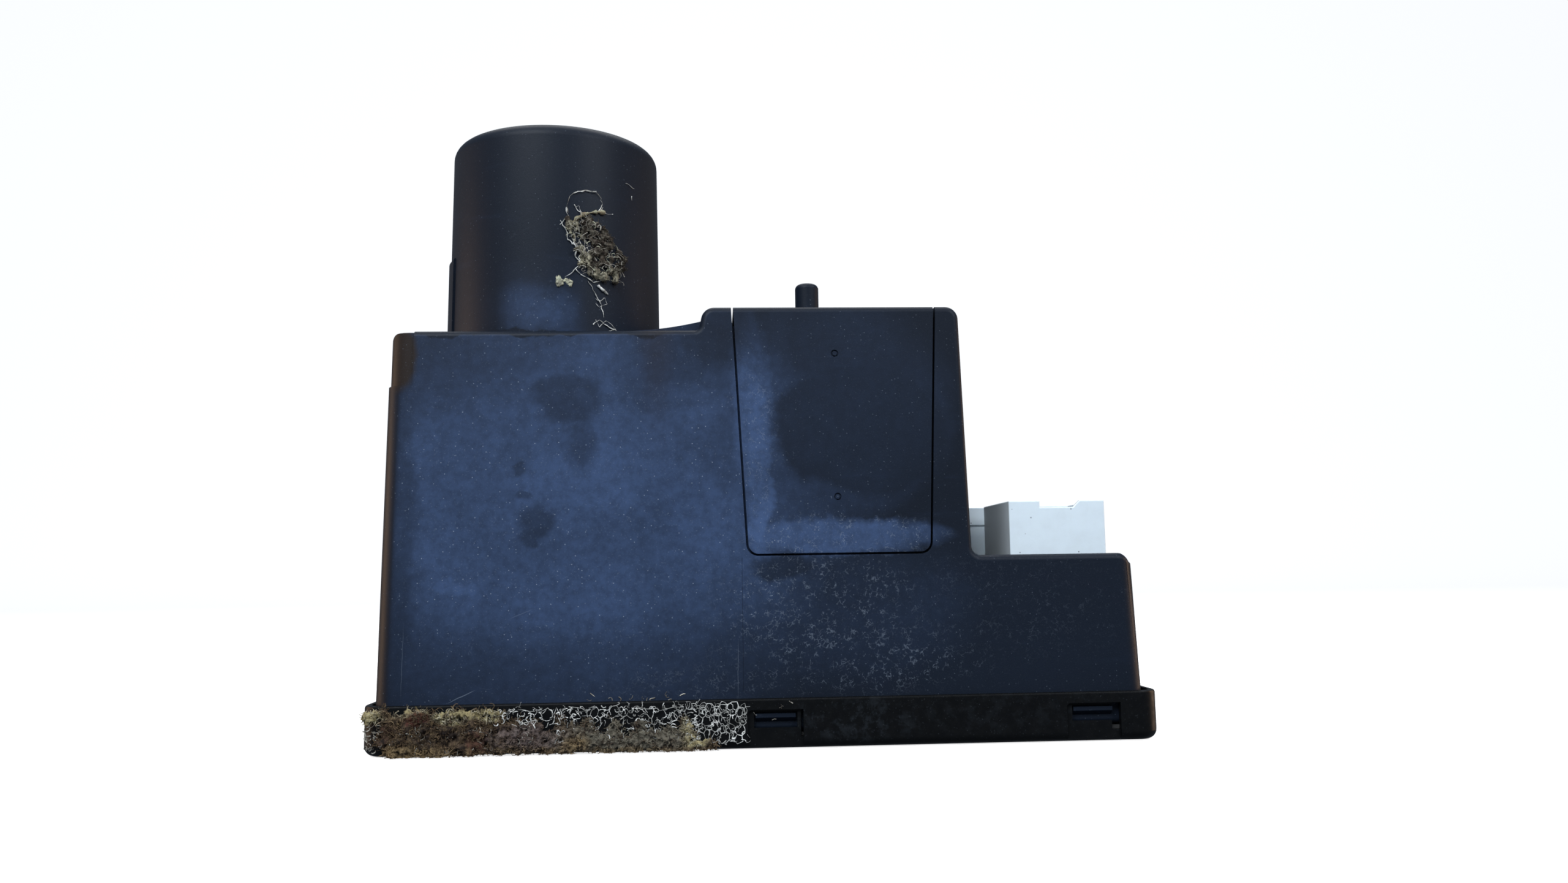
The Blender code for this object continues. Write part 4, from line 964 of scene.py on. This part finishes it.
# fuses knobbly lumps into one closed, crumbly skin; a lump is its centre, half sizes and seed
def fused(name, lumps, fineness, material, voxel, crumble, squeeze=None):
    bm = bmesh.new()
    bmesh.ops.create_icosphere(bm, subdivisions=fineness, radius=1.0)
    ways = [v.co.normalized() for v in bm.verts]
    ball = [[v.index for v in face.verts] for face in bm.faces]
    bm.free()
    points, faces = [], []
    for centre, size, seed in lumps:
        centre, size = Vector(centre) * mm, Vector(size) * mm
        faces += [[len(points) + k for k in face] for face in ball]
        for way in ways:
            swell = 1 + 0.45 * noise.fractal(way * 1.7 + Vector((seed * 3.7, 0, 0)), 0.8, 2.1, 4)
            points.append(centre + Vector((way.x * size[0], way.y * size[1], way.z * size[2])) * swell)
    mesh = bpy.data.meshes.new(name)
    mesh.from_pydata(points, [], faces)
    mesh.materials.append(material)
    piece = bpy.data.objects.new(name, mesh)
    bpy.context.scene.collection.objects.link(piece)
    modifier = piece.modifiers.new("skin", "REMESH")
    modifier.mode, modifier.voxel_size = "VOXEL", voxel * mm
    settle(piece)
    outwards = [v.normal.copy() for v in piece.data.vertices]
    for v, outward in zip(piece.data.vertices, outwards):
        rough = noise.fractal(v.co * 640, 0.6, 2.0, 4) + 0.5 * noise.noise(v.co * 2600)
        v.co += outward * rough * crumble * mm
        if squeeze:
            squeeze(v)
    piece.data.shade_smooth()
    return fit(piece)


def makeTrayFoam():
    back, front = residue["back"] * mm, residue["front"] * mm
    lumps = enumerate(residue["lumps"])
    lumps = [((x, -36.0, z), (wide, thick, high), seed) for seed, (x, z, wide, high, thick) in lumps]

    # keeps the foam above the floor and close to the tray's wall
    def squeeze(v):
        v.co.z = max(v.co.z, 0.15 * mm)
        v.co.y = max(min(v.co.y, back), front)

    return fused("foam_strip", lumps, 4, foams["tray"], residue["voxel"], 0.85, squeeze)


# how far out the turret's front is at an x
def turretFront(x, z):
    return -((turretRadius(z) ** 2 - (x - turret["x"]) ** 2) ** 0.5)


def inside(outline, x, z):
    hit = False
    for (x0, z0), (x1, z1) in zip(outline, outline[1:] + outline[:1]):
        if (z0 > z) != (z1 > z) and x < (x1 - x0) * (z - z0) / (z1 - z0) + x0:
            hit = not hit
    return hit


def makeChunk():
    outline = residue["chunk"]
    draw = Random(41)
    low, high = ([pick(p[k] for p in outline) for k in (0, 1)] for pick in (min, max))
    lumps = []
    while len(lumps) < 90:
        x, z = draw.uniform(low[0], high[0]), draw.uniform(low[1], high[1])
        size, thick = draw.uniform(0.4, 0.9), draw.uniform(0.4, 1.4)
        if inside(outline, x, z):
            centre = (x, turretFront(x, z) - 0.15, z)
            lumps.append((centre, (size, thick, size * 1.2), len(lumps) + 1))

    # keeps the chunk from sinking into the turret
    def squeeze(v):
        reach = (turretRadius(v.co.z / mm) - 0.4) * mm
        flat = Vector((v.co.x - turret["x"] * mm, v.co.y))
        if flat.length < reach:
            flat = flat.normalized() * reach
            v.co.x, v.co.y = turret["x"] * mm + flat.x, flat.y

    return fused("foam_chunk", lumps, 3, foams["turret"], 0.24, 0.3, squeeze)


# geometry node trees
def newTree(name, sockets):
    tree = bpy.data.node_groups.new(name, "GeometryNodeTree")
    tree.interface.new_socket("Geometry", in_out="INPUT", socket_type="NodeSocketGeometry")
    for label, kind in sockets.items():
        tree.interface.new_socket(label, in_out="INPUT", socket_type="NodeSocket" + kind)
    tree.interface.new_socket("Geometry", in_out="OUTPUT", socket_type="NodeSocketGeometry")
    return tree, tree.nodes.new("NodeGroupInput").outputs


# a geometry node's first output
def geo(kind, inputs=None, tree=None, **settings):
    return put("GeometryNode" + kind, inputs, tree, **settings)[0]


def closeTree(shape, material):
    painted = geo("SetMaterial", {"Geometry": geo("RealizeInstances", {0: shape}), "Material": material})
    put("NodeGroupOutput", {0: painted})
    return shape.id_data


# runs a tree on a mesh and keeps what it makes as a plain mesh
def grown(name, tree, values, source=None):
    piece = bpy.data.objects.new(name, source or bpy.data.meshes.new(name))
    bpy.context.scene.collection.objects.link(piece)
    modifier = piece.modifiers.new("growth", "NODES")
    modifier.node_group = tree
    for item in tree.interface.items_tree:
        if item.in_out == "INPUT" and item.name in values:
            modifier[item.identifier] = values[item.name]
    bpy.context.view_layer.update()
    settle(piece)
    piece.data.shade_smooth()
    return piece


def randomVector(given, low, high):
    inputs = {0: low, 1: high, "Seed": given["Seed"]}
    return put("FunctionNodeRandomValue", inputs, data_type="FLOAT_VECTOR")[0]


def moved(shape, offset):
    return geo("SetPosition", {"Geometry": shape, "Offset": offset})


# an offset that wanders with place: noise about zero, reach long
def wander(tree, scale, reach, detail=2.0):
    here = {"Vector": geo("InputPosition", tree=tree), "Scale": scale, "Detail": detail}
    cloud = put("ShaderNodeTexNoise", here)["Color"]
    return vectorSums("SCALE", vectorSums("SUBTRACT", cloud, (0.5, 0.5, 0.5)), scale=reach)


# round strands along curves, thicker in some places than in others
def tubes(curve, radius, sides):
    tree = curve.id_data
    uneven = ramp(grain(geo("InputPosition", tree=tree), 750, 2), 0.34, 0.66, 0.35, 2.0)
    ring = geo("CurvePrimitiveCircle", {"Resolution": sides, "Radius": radius})
    return geo("CurveToMesh", {"Curve": curve, "Profile Curve": ring, "Scale": uneven, "Fill Caps": True})


# keeps points above the floor and within a reach in front of the tray
def fenced(shape, low, front):
    x, y, z = put("ShaderNodeSeparateXYZ", {0: geo("InputPosition", tree=shape.id_data)})
    held = put("ShaderNodeCombineXYZ", {0: x, 1: sums("MAXIMUM", y, front), 2: sums("MAXIMUM", z, low)})[0]
    return geo("SetPosition", {"Geometry": shape, "Position": held})


# curved fibres that stand on a surface
def fibreTree():
    numbers = ("Density", "Length", "Thickness", "Spread", "Curl", "Low", "Front")
    sockets = {**{key: "Float" for key in numbers}, "Seed": "Int", "Material": "Material"}
    tree, given = newTree("fibres", sockets)
    clumps = {"Vector": geo("InputPosition", tree=tree), "Scale": 420.0, "Detail": 3.0}
    crowd = times(ramp(put("ShaderNodeTexNoise", clumps)["Fac"], 0.36, 0.62), given["Density"])
    points = put("GeometryNodeDistributePointsOnFaces", {
        "Mesh": given["Geometry"], "Density": crowd, "Seed": given["Seed"]})
    astray = randomVector(given, (-1, -1, -1), (1, 1, 1))
    leaning = vectorSums("ADD", points["Normal"], vectorSums("SCALE", astray, scale=given["Spread"]))
    turned = put("FunctionNodeAlignRotationToVector", {"Vector": leaning}, axis="Z")[0]
    stem = geo("CurvePrimitiveLine", {"End": (0, 0, 1)}, tree)
    stem = geo("ResampleCurve", {"Curve": stem, "Count": 5})
    tall = put("FunctionNodeRandomValue", {2: 0.35, 3: 1.0, "Seed": given["Seed"]}, data_type="FLOAT")[1]
    stems = geo("RealizeInstances", {0: geo("InstanceOnPoints", {
        "Points": points["Points"], "Instance": stem, "Rotation": turned,
        "Scale": times(tall, given["Length"])})})
    along = put("GeometryNodeSplineParameter", tree=tree)["Factor"]
    stems = moved(stems, vectorSums("SCALE", wander(tree, 700.0, given["Curl"]), scale=along))
    stems = fenced(stems, given["Low"], given["Front"])
    return closeTree(tubes(stems, given["Thickness"], 3), given["Material"])


# a torn net of dried glue, standing in front of a wall
def netTree():
    numbers = ("Length", "Height", "Cell", "Jitter", "Thickness", "Whole", "Torn", "Drop")
    tree, given = newTree("gluenet", {
        **{key: "Float" for key in numbers}, "Seed": "Int", "Centre": "Vector", "Material": "Material"})
    columns, rows = (sums("DIVIDE", given[key], given["Cell"]) for key in ("Length", "Height"))
    grid = geo("MeshGrid", {
        "Size X": given["Length"], "Size Y": given["Height"], "Vertices X": columns, "Vertices Y": rows})
    shift = randomVector(given, (-1, -1, 0), (1, 1, 0))
    grid = moved(grid, vectorSums("SCALE", shift, scale=given["Jitter"]))
    cells = geo("DualMesh", {0: geo("Triangulate", {0: grid})})
    # whole at one end and torn at the other, and more broken lower down
    here = geo("InputPosition", tree=tree)
    x, z, _ = put("ShaderNodeSeparateXYZ", {0: here})
    across = {
        "Value": sums("DIVIDE", x, times(given["Length"], 0.5)), "From Min": -1.0, "From Max": 1.0,
        "To Min": given["Torn"], "To Max": given["Whole"]}
    torn = put("ShaderNodeMapRange", across)[0]
    keep = plus(torn, times(sums("DIVIDE", z, given["Height"]), given["Drop"]))
    ragged = put("ShaderNodeTexNoise", {"Vector": here, "Scale": 330.0, "Detail": 4.0})["Fac"]
    gone = put("FunctionNodeCompare", {0: ragged, 1: keep}, data_type="FLOAT", operation="GREATER_THAN")[0]
    cells = geo("DeleteGeometry", {"Geometry": cells, "Selection": gone}, domain="EDGE")
    ridges = geo("ResampleCurve", {"Curve": geo("MeshToCurve", {"Mesh": cells}), "Count": 4})
    ridges = moved(ridges, wander(tree, 900.0, 0.0006, 3.0))
    placing = {"Geometry": ridges, "Translation": given["Centre"], "Rotation": (pi / 2, 0, 0)}
    ridges = geo("Transform", placing)
    ridges = fenced(ridges, 0.0002, -0.0376)
    return closeTree(tubes(ridges, given["Thickness"], 5), given["Material"])


# strands along given lines, with a wobble
def strandTree():
    numbers = ("Step", "Thickness", "Wobble")
    tree, given = newTree("strands", {**{key: "Float" for key in numbers}, "Material": "Material"})
    lines = geo("MeshToCurve", {"Mesh": given["Geometry"]})
    lines = geo("ResampleCurve", {"Curve": lines, "Length": given["Step"]}, mode="LENGTH")
    lines = moved(lines, wander(tree, 600.0, given["Wobble"], 3.0))
    return closeTree(tubes(lines, given["Thickness"], 5), given["Material"])


fibres = {
    "Density": 5.2e6, "Length": 0.0014, "Thickness": 0.000062, "Spread": 1.2, "Curl": 0.0022,
    "Low": 0.00012, "Front": -0.0379,
}
nets = [  # centre x, centre z, length, height, cell, thickness, whole, torn, drop, seed
    ("net_end", -11.6, 6.6, 13.4, 10.8, 1.65, 0.072, 0.68, 0.64, 0.12, 3),
    ("net_fine", -14.0, 7.0, 19.0, 10.2, 1.15, 0.055, 0.52, 0.46, 0.2, 21),
    ("net_long", -43.0, 7.6, 48.0, 8.2, 1.4, 0.05, 0.5, 0.4, 0.3, 8),
]
# loose threads of glue: x from and to, z from and to, count, length, seed, finish
scribbles = [
    (-66, -20, 7.4, 11.6, 170, 1.5, 2, "white"), (-20, -5.2, 1.5, 11.6, 90, 1.3, 41, "white"),
    (-52, -18, 3.0, 8.0, 110, 1.4, 4, "white"), (-98, -94, 2.0, 8.0, 34, 1.4, 6, "ashen"),
    (-44, -4, 12.5, 13.6, 12, 1.5, 12, "ashen"), (-98, -66, 8.6, 11.6, 40, 2.4, 16, "straw"),
    (-92, -56, 1.5, 8.0, 46, 1.8, 18, "ashen"), (-3, 6, 7, 12, 5, 1.2, 23, "ashen"),
    (-66, -22, 0.8, 5.0, 90, 1.8, 29, "straw"), (-90, -74, 0.6, 2.6, 26, 4.0, 37, "straw"),
]
scribbleSizes = (0.045, 0.06, 0.085)


# a curling line of points from a start
def curling(draw, x, z, heading, turn, stray, steps, length):
    line = []
    for _ in range(steps + 1):
        line.append((x, z))
        heading += turn + draw.uniform(-stray, stray)
        x, z = x + cos(heading) * length / steps, z + sin(heading) * length / steps
    return line


# short curling lines in front of the tray
def scribbled(x0, x1, z0, z1, count, length, seed, finish):
    draw = Random(seed)
    lines = []
    for _ in range(count):
        x, z, heading = draw.uniform(x0, x1), draw.uniform(z0, z1), draw.uniform(0, 2 * pi)
        y = -36.05 - draw.uniform(0.0, 0.5) if z < 12.2 else -halfDepth(z) - 0.05
        turn = draw.uniform(-0.9, 0.9)
        if z < 12.2 and x < -50:
            y = -37.1 - draw.uniform(0, 0.5)
        line = curling(draw, x, z, heading, turn, 0.5, 5, length)
        lines.append([Vector((px, y, max(pz, 0.3))) * mm for px, pz in line])
    return lines


# strands on the turret: thickness, then (x, z) points
turretGlue = [
    (0.12, [
        (-52.7, 135.5), (-51.3, 137.0), (-50.4, 135.8), (-49.0, 133.7), (-47.0, 133.1), (-45.8, 130.8)]),
    (0.13, [
        (-50.4, 134.6), (-49.4, 133.8), (-48.6, 132.0), (-49.3, 130.4), (-48.0, 129.6), (-48.4, 128.2)]),
    (0.1, [(-47.9, 131.8), (-47.0, 130.2), (-46.9, 128.0), (-47.9, 126.9), (-46.8, 125.0), (-47.6, 124.0)]),
    (0.1, [(-52.4, 136.6), (-51.8, 134.9), (-50.9, 133.4), (-50.4, 131.5), (-49.5, 130.2)]),
    (0.14, [
        (-50.9, 135.9), (-50.0, 133.2), (-49.2, 131.0), (-48.4, 129.2), (-48.6, 127.0), (-47.6, 125.6),
        (-46.2, 125.4), (-45.2, 127.2), (-46.4, 128.4)]),
    (0.1, [(-47.8, 124.6), (-49.8, 122.5), (-51.3, 121.4)]),
    (0.12, [(-48.7, 123.7), (-47.2, 122.2), (-45.8, 121.7), (-44.1, 120.5), (-41.8, 121.4)]),
    (0.08, [(-45.5, 120.8), (-44.4, 119.0), (-43.2, 116.7), (-42.2, 114.6), (-41.5, 111.4)]),
    (0.28, [(-43.0, 119.9), (-41.9, 118.7), (-40.4, 117.8)]),
    (0.06, [
        (-43.6, 116.2), (-42.4, 115.6), (-41.4, 116.6), (-40.7, 115.2), (-42.6, 114.0), (-43.4, 115.0)]),
    (0.1, [(-44.1, 109.1), (-42.7, 110.6), (-41.5, 109.4), (-39.5, 108.5), (-38.0, 107.9)]),
    (0.07, [
        (-43.6, 110.4), (-42.6, 108.6), (-41.0, 110.4), (-39.6, 109.6), (-38.6, 108.4), (-40.2, 107.9)]),
    (0.08, [(-30.6, 107.3), (-29.0, 106.9), (-28.5, 107.3)]),
    (0.11, [(-49.1, 144.2), (-47.6, 144.9), (-45.6, 145.2), (-43.5, 145.2)]),
    (0.08, [(-42.4, 143.4), (-41.9, 142.2), (-42.4, 140.8), (-43.1, 139.8)]),
    (0.08, [(-41.8, 141.4), (-42.4, 140.0), (-40.2, 139.8), (-39.2, 140.1)]),
    (0.1, [(-51.1, 140.4), (-50.9, 138.6), (-50.6, 137.8)]),
    (0.09, [(-49.0, 141.0), (-48.2, 139.8), (-47.4, 139.0), (-47.8, 141.2), (-48.6, 140.4)]),
    (0.13, [(-40.6, 132.4), (-39.9, 131.6), (-40.2, 130.4), (-39.4, 129.8)]),
    (0.08, [(-41.2, 123.6), (-39.4, 124.6), (-38.2, 124.8)]),
    (0.08, [(-38.9, 129.3), (-37.6, 128.2), (-37.9, 126.9), (-36.6, 126.2), (-37.2, 125.0)]),
    (0.07, [(-36.1, 149.5), (-35.0, 149.3), (-33.8, 148.9)]),
    (0.1, [(-34.6, 146.5), (-34.7, 145.9), (-34.4, 145.6)]),
]
turretHairs = [
    (0.045, [
        (-50.6, 138.7), (-50.9, 140.8), (-50.2, 143.2), (-48.9, 144.5), (-46.1, 145.4), (-43.6, 145.3),
        (-42.3, 143.8), (-41.9, 142.2), (-42.6, 140.2)]),
]
turretStraw = [
    (0.42, [
        (-49.6, 136.1), (-48.6, 137.2), (-47.2, 138.2), (-45.4, 139.2), (-43.0, 139.8), (-41.4, 140.0)]),
]
flakes = [
    (-53.0, 120.3, 0.75, 1.5, 31), (-52.1, 119.8, 0.5, 0.8, 32), (-50.6, 120.2, 0.9, 0.8, 33),
    (-49.9, 119.7, 0.5, 0.9, 34),
]


def onTurret(points, lift):
    return [Vector((x, turretFront(x, z) - lift, z)) * mm for x, z in points]


# pale wisps that lie over the chunk
def wisps(count, length, seed):
    draw = Random(seed)
    lines = []
    while len(lines) < count:
        x, z, heading = draw.uniform(-51, -36), draw.uniform(121, 138), draw.uniform(0.6, 2.6)
        if inside(residue["chunk"], x, z):
            line = curling(draw, x, z, heading, draw.uniform(-0.7, 0.7), 0.6, 6, length)
            lines.append((draw.choice((0.045, 0.06, 0.08)), onTurret(line, draw.uniform(0.6, 1.7))))
    return lines


# one piece from lines with their thicknesses
def strandPiece(name, groups, material, wobble):
    whole = bmesh.new()
    for thickness in sorted({group[0] for group in groups}):
        points, edges = [], []
        for line in (line for size, line in groups if size == thickness):
            edges += [(len(points) + k, len(points) + k + 1) for k in range(len(line) - 1)]
            points += line
        mesh = bpy.data.meshes.new("lines")
        mesh.from_pydata(points, edges, [])
        values = {"Step": 0.00035, "Thickness": thickness * mm, "Wobble": wobble * mm, "Material": material}
        part = grown("part", trees["strand"], values, mesh)
        whole.from_mesh(part.data)
        bpy.data.objects.remove(part)
    piece = pieceFrom(name, whole, material)
    piece.data.shade_smooth()
    fit(piece)


def growFibres(name, base, seed, material, amount=1.0, long=1.0):
    values = {**fibres, "Seed": seed, "Material": foams[material]}
    values["Density"] *= amount
    values["Length"] *= long
    fit(grown(name, trees["fibre"], values, base.data.copy()))


def makeNet(name, x, z, length, height, cell, thick, whole, torn, drop, seed):
    fit(grown(name, trees["net"], {
        "Length": length * mm, "Height": height * mm, "Cell": cell * mm, "Jitter": cell * mm * 0.5,
        "Thickness": thick * mm, "Seed": seed, "Whole": whole, "Torn": torn, "Drop": drop,
        "Centre": (x * mm, -0.0361, z * mm), "Material": foams["white"]}))


trees = {"fibre": fibreTree(), "net": netTree(), "strand": strandTree()}
foamStrip = makeTrayFoam()
foamChunk = makeChunk()
growFibres("foam_fibres", foamStrip, 5, "straw")
growFibres("chunk_fibres", foamChunk, 9, "turret", 1.3, 0.7)
for net in nets:
    makeNet(*net)
for finish in ("white", "ashen", "straw"):
    lines = [line for setting in scribbles if setting[-1] == finish for line in scribbled(*setting)]
    lines = [(scribbleSizes[k % 3], line) for k, line in enumerate(lines)]
    strandPiece(finish + "_threads", lines, foams[finish], 0.6)
print("foam, nets and threads made")

glued = [(size * 0.8, onTurret(line, 0.3)) for size, line in turretGlue]
strandPiece("turret_glue", glued, foams["white"], 1.1)
strandPiece("turret_wisps", wisps(70, 2.6, 51), foams["ashen"], 0.8)
strandPiece("turret_tufts", wisps(30, 2.2, 52), foams["flake"], 0.8)
strandPiece("turret_hairs", [(size, onTurret(line, 0.35)) for size, line in turretHairs], foams["ashen"], 0.2)
strandPiece("turret_straw", [(size, onTurret(line, 0.3)) for size, line in turretStraw], foams["stalk"], 1.2)
lumps = [((x, turretFront(x, z) - 0.1, z), (wide, 0.22, high), seed) for x, z, wide, high, seed in flakes]
fused("turret_flakes", lumps, 4, foams["flake"], 0.16, 0.3)
print("turret residue made")


# the studio
studio = {
    "paper": (0.9, 0.9, 0.9, 1),
    "shade": (0.8, 0.8, 0.8, 1),
    "paperGlow": 0.78,
    "room": (0.72, 0.84, 1.0, 1),
    "roomLight": 0.21,
    # place, size, energy, colour of each soft light, aimed at the case's middle
    "lights": [
        ((-330, -640, 720), (620, 420), 9.5, (0.9, 0.95, 1.0)),
        ((560, -520, 620), (420, 420), 4.5, (0.93, 0.96, 1.0)),
        ((0, 260, 900), (900, 600), 5.0, (1.0, 0.99, 0.97)),
        ((640, 90, 90), (260, 320), 1.3, (1.0, 0.66, 0.42)),
        ((-640, 60, 90), (260, 320), 1.3, (1.0, 0.66, 0.42)),
    ],
}


# a sweep of pale paper that lights itself a little, so that it stays pale and keeps soft shadows
def makePaper():
    material, place = newMaterial("stagepaper")
    paper = blendColour(times(grain(place, 6, 3), 0.02), studio["paper"], studio["shade"])
    dress(
        material, Base_Color=paper, Roughness=0.9, Specular_IOR_Level=0.1,
        Emission_Color=(1, 1, 1, 1), Emission_Strength=studio["paperGlow"])
    rows = [(-2.2, 0.0), (1.6, 0.0)]
    rows += [(1.6 + 0.5 * sin(a), 0.5 - 0.5 * cos(a)) for a in (pi / 2 * k / 10 for k in range(1, 11))]
    rows.append((2.1, 3.0))
    bm = bmesh.new()
    strips = [[bm.verts.new((x, y, z - 0.0002)) for x in (-3.5, 3.5)] for y, z in rows]
    for near, far in zip(strips, strips[1:]):
        bm.faces.new((near[0], near[1], far[1], far[0]))
    sweep = pieceFrom("stage_sweep", bm, material, recalc=False)
    sweep.data.shade_smooth()
    sweep.visible_glossy = False
    sweep.visible_diffuse = False


# the room is white to look at and dim as a light
def makeRoom():
    world = bpy.data.worlds.new("soft_room")
    world.use_nodes = True
    seen = put("ShaderNodeLightPath", tree=world.node_tree)["Is Camera Ray"]
    connect(world.node_tree.nodes["Background"], {
        "Color": blendColour(seen, studio["room"], (1, 1, 1, 1)),
        "Strength": ramp(seen, 0.0, 1.0, studio["roomLight"], 1.0)})
    bpy.context.scene.world = world


def makeLights():
    aim = Vector((0, 0, 60)) * mm
    for i, (spot, size, energy, colour) in enumerate(studio["lights"]):
        data = bpy.data.lights.new(f"softbox_{i + 1}", "AREA")
        data.shape, data.size, data.size_y = "RECTANGLE", size[0] * mm, size[1] * mm
        data.energy, data.color = energy, colour
        lamp = bpy.data.objects.new(data.name, data)
        lamp.location = Vector(spot) * mm
        lamp.rotation_euler = (aim - lamp.location).to_track_quat("-Z", "Y").to_euler()
        bpy.context.scene.collection.objects.link(lamp)


makePaper()
makeRoom()
makeLights()
bpy.context.scene.view_settings.view_transform = "Standard"
print("studio made")
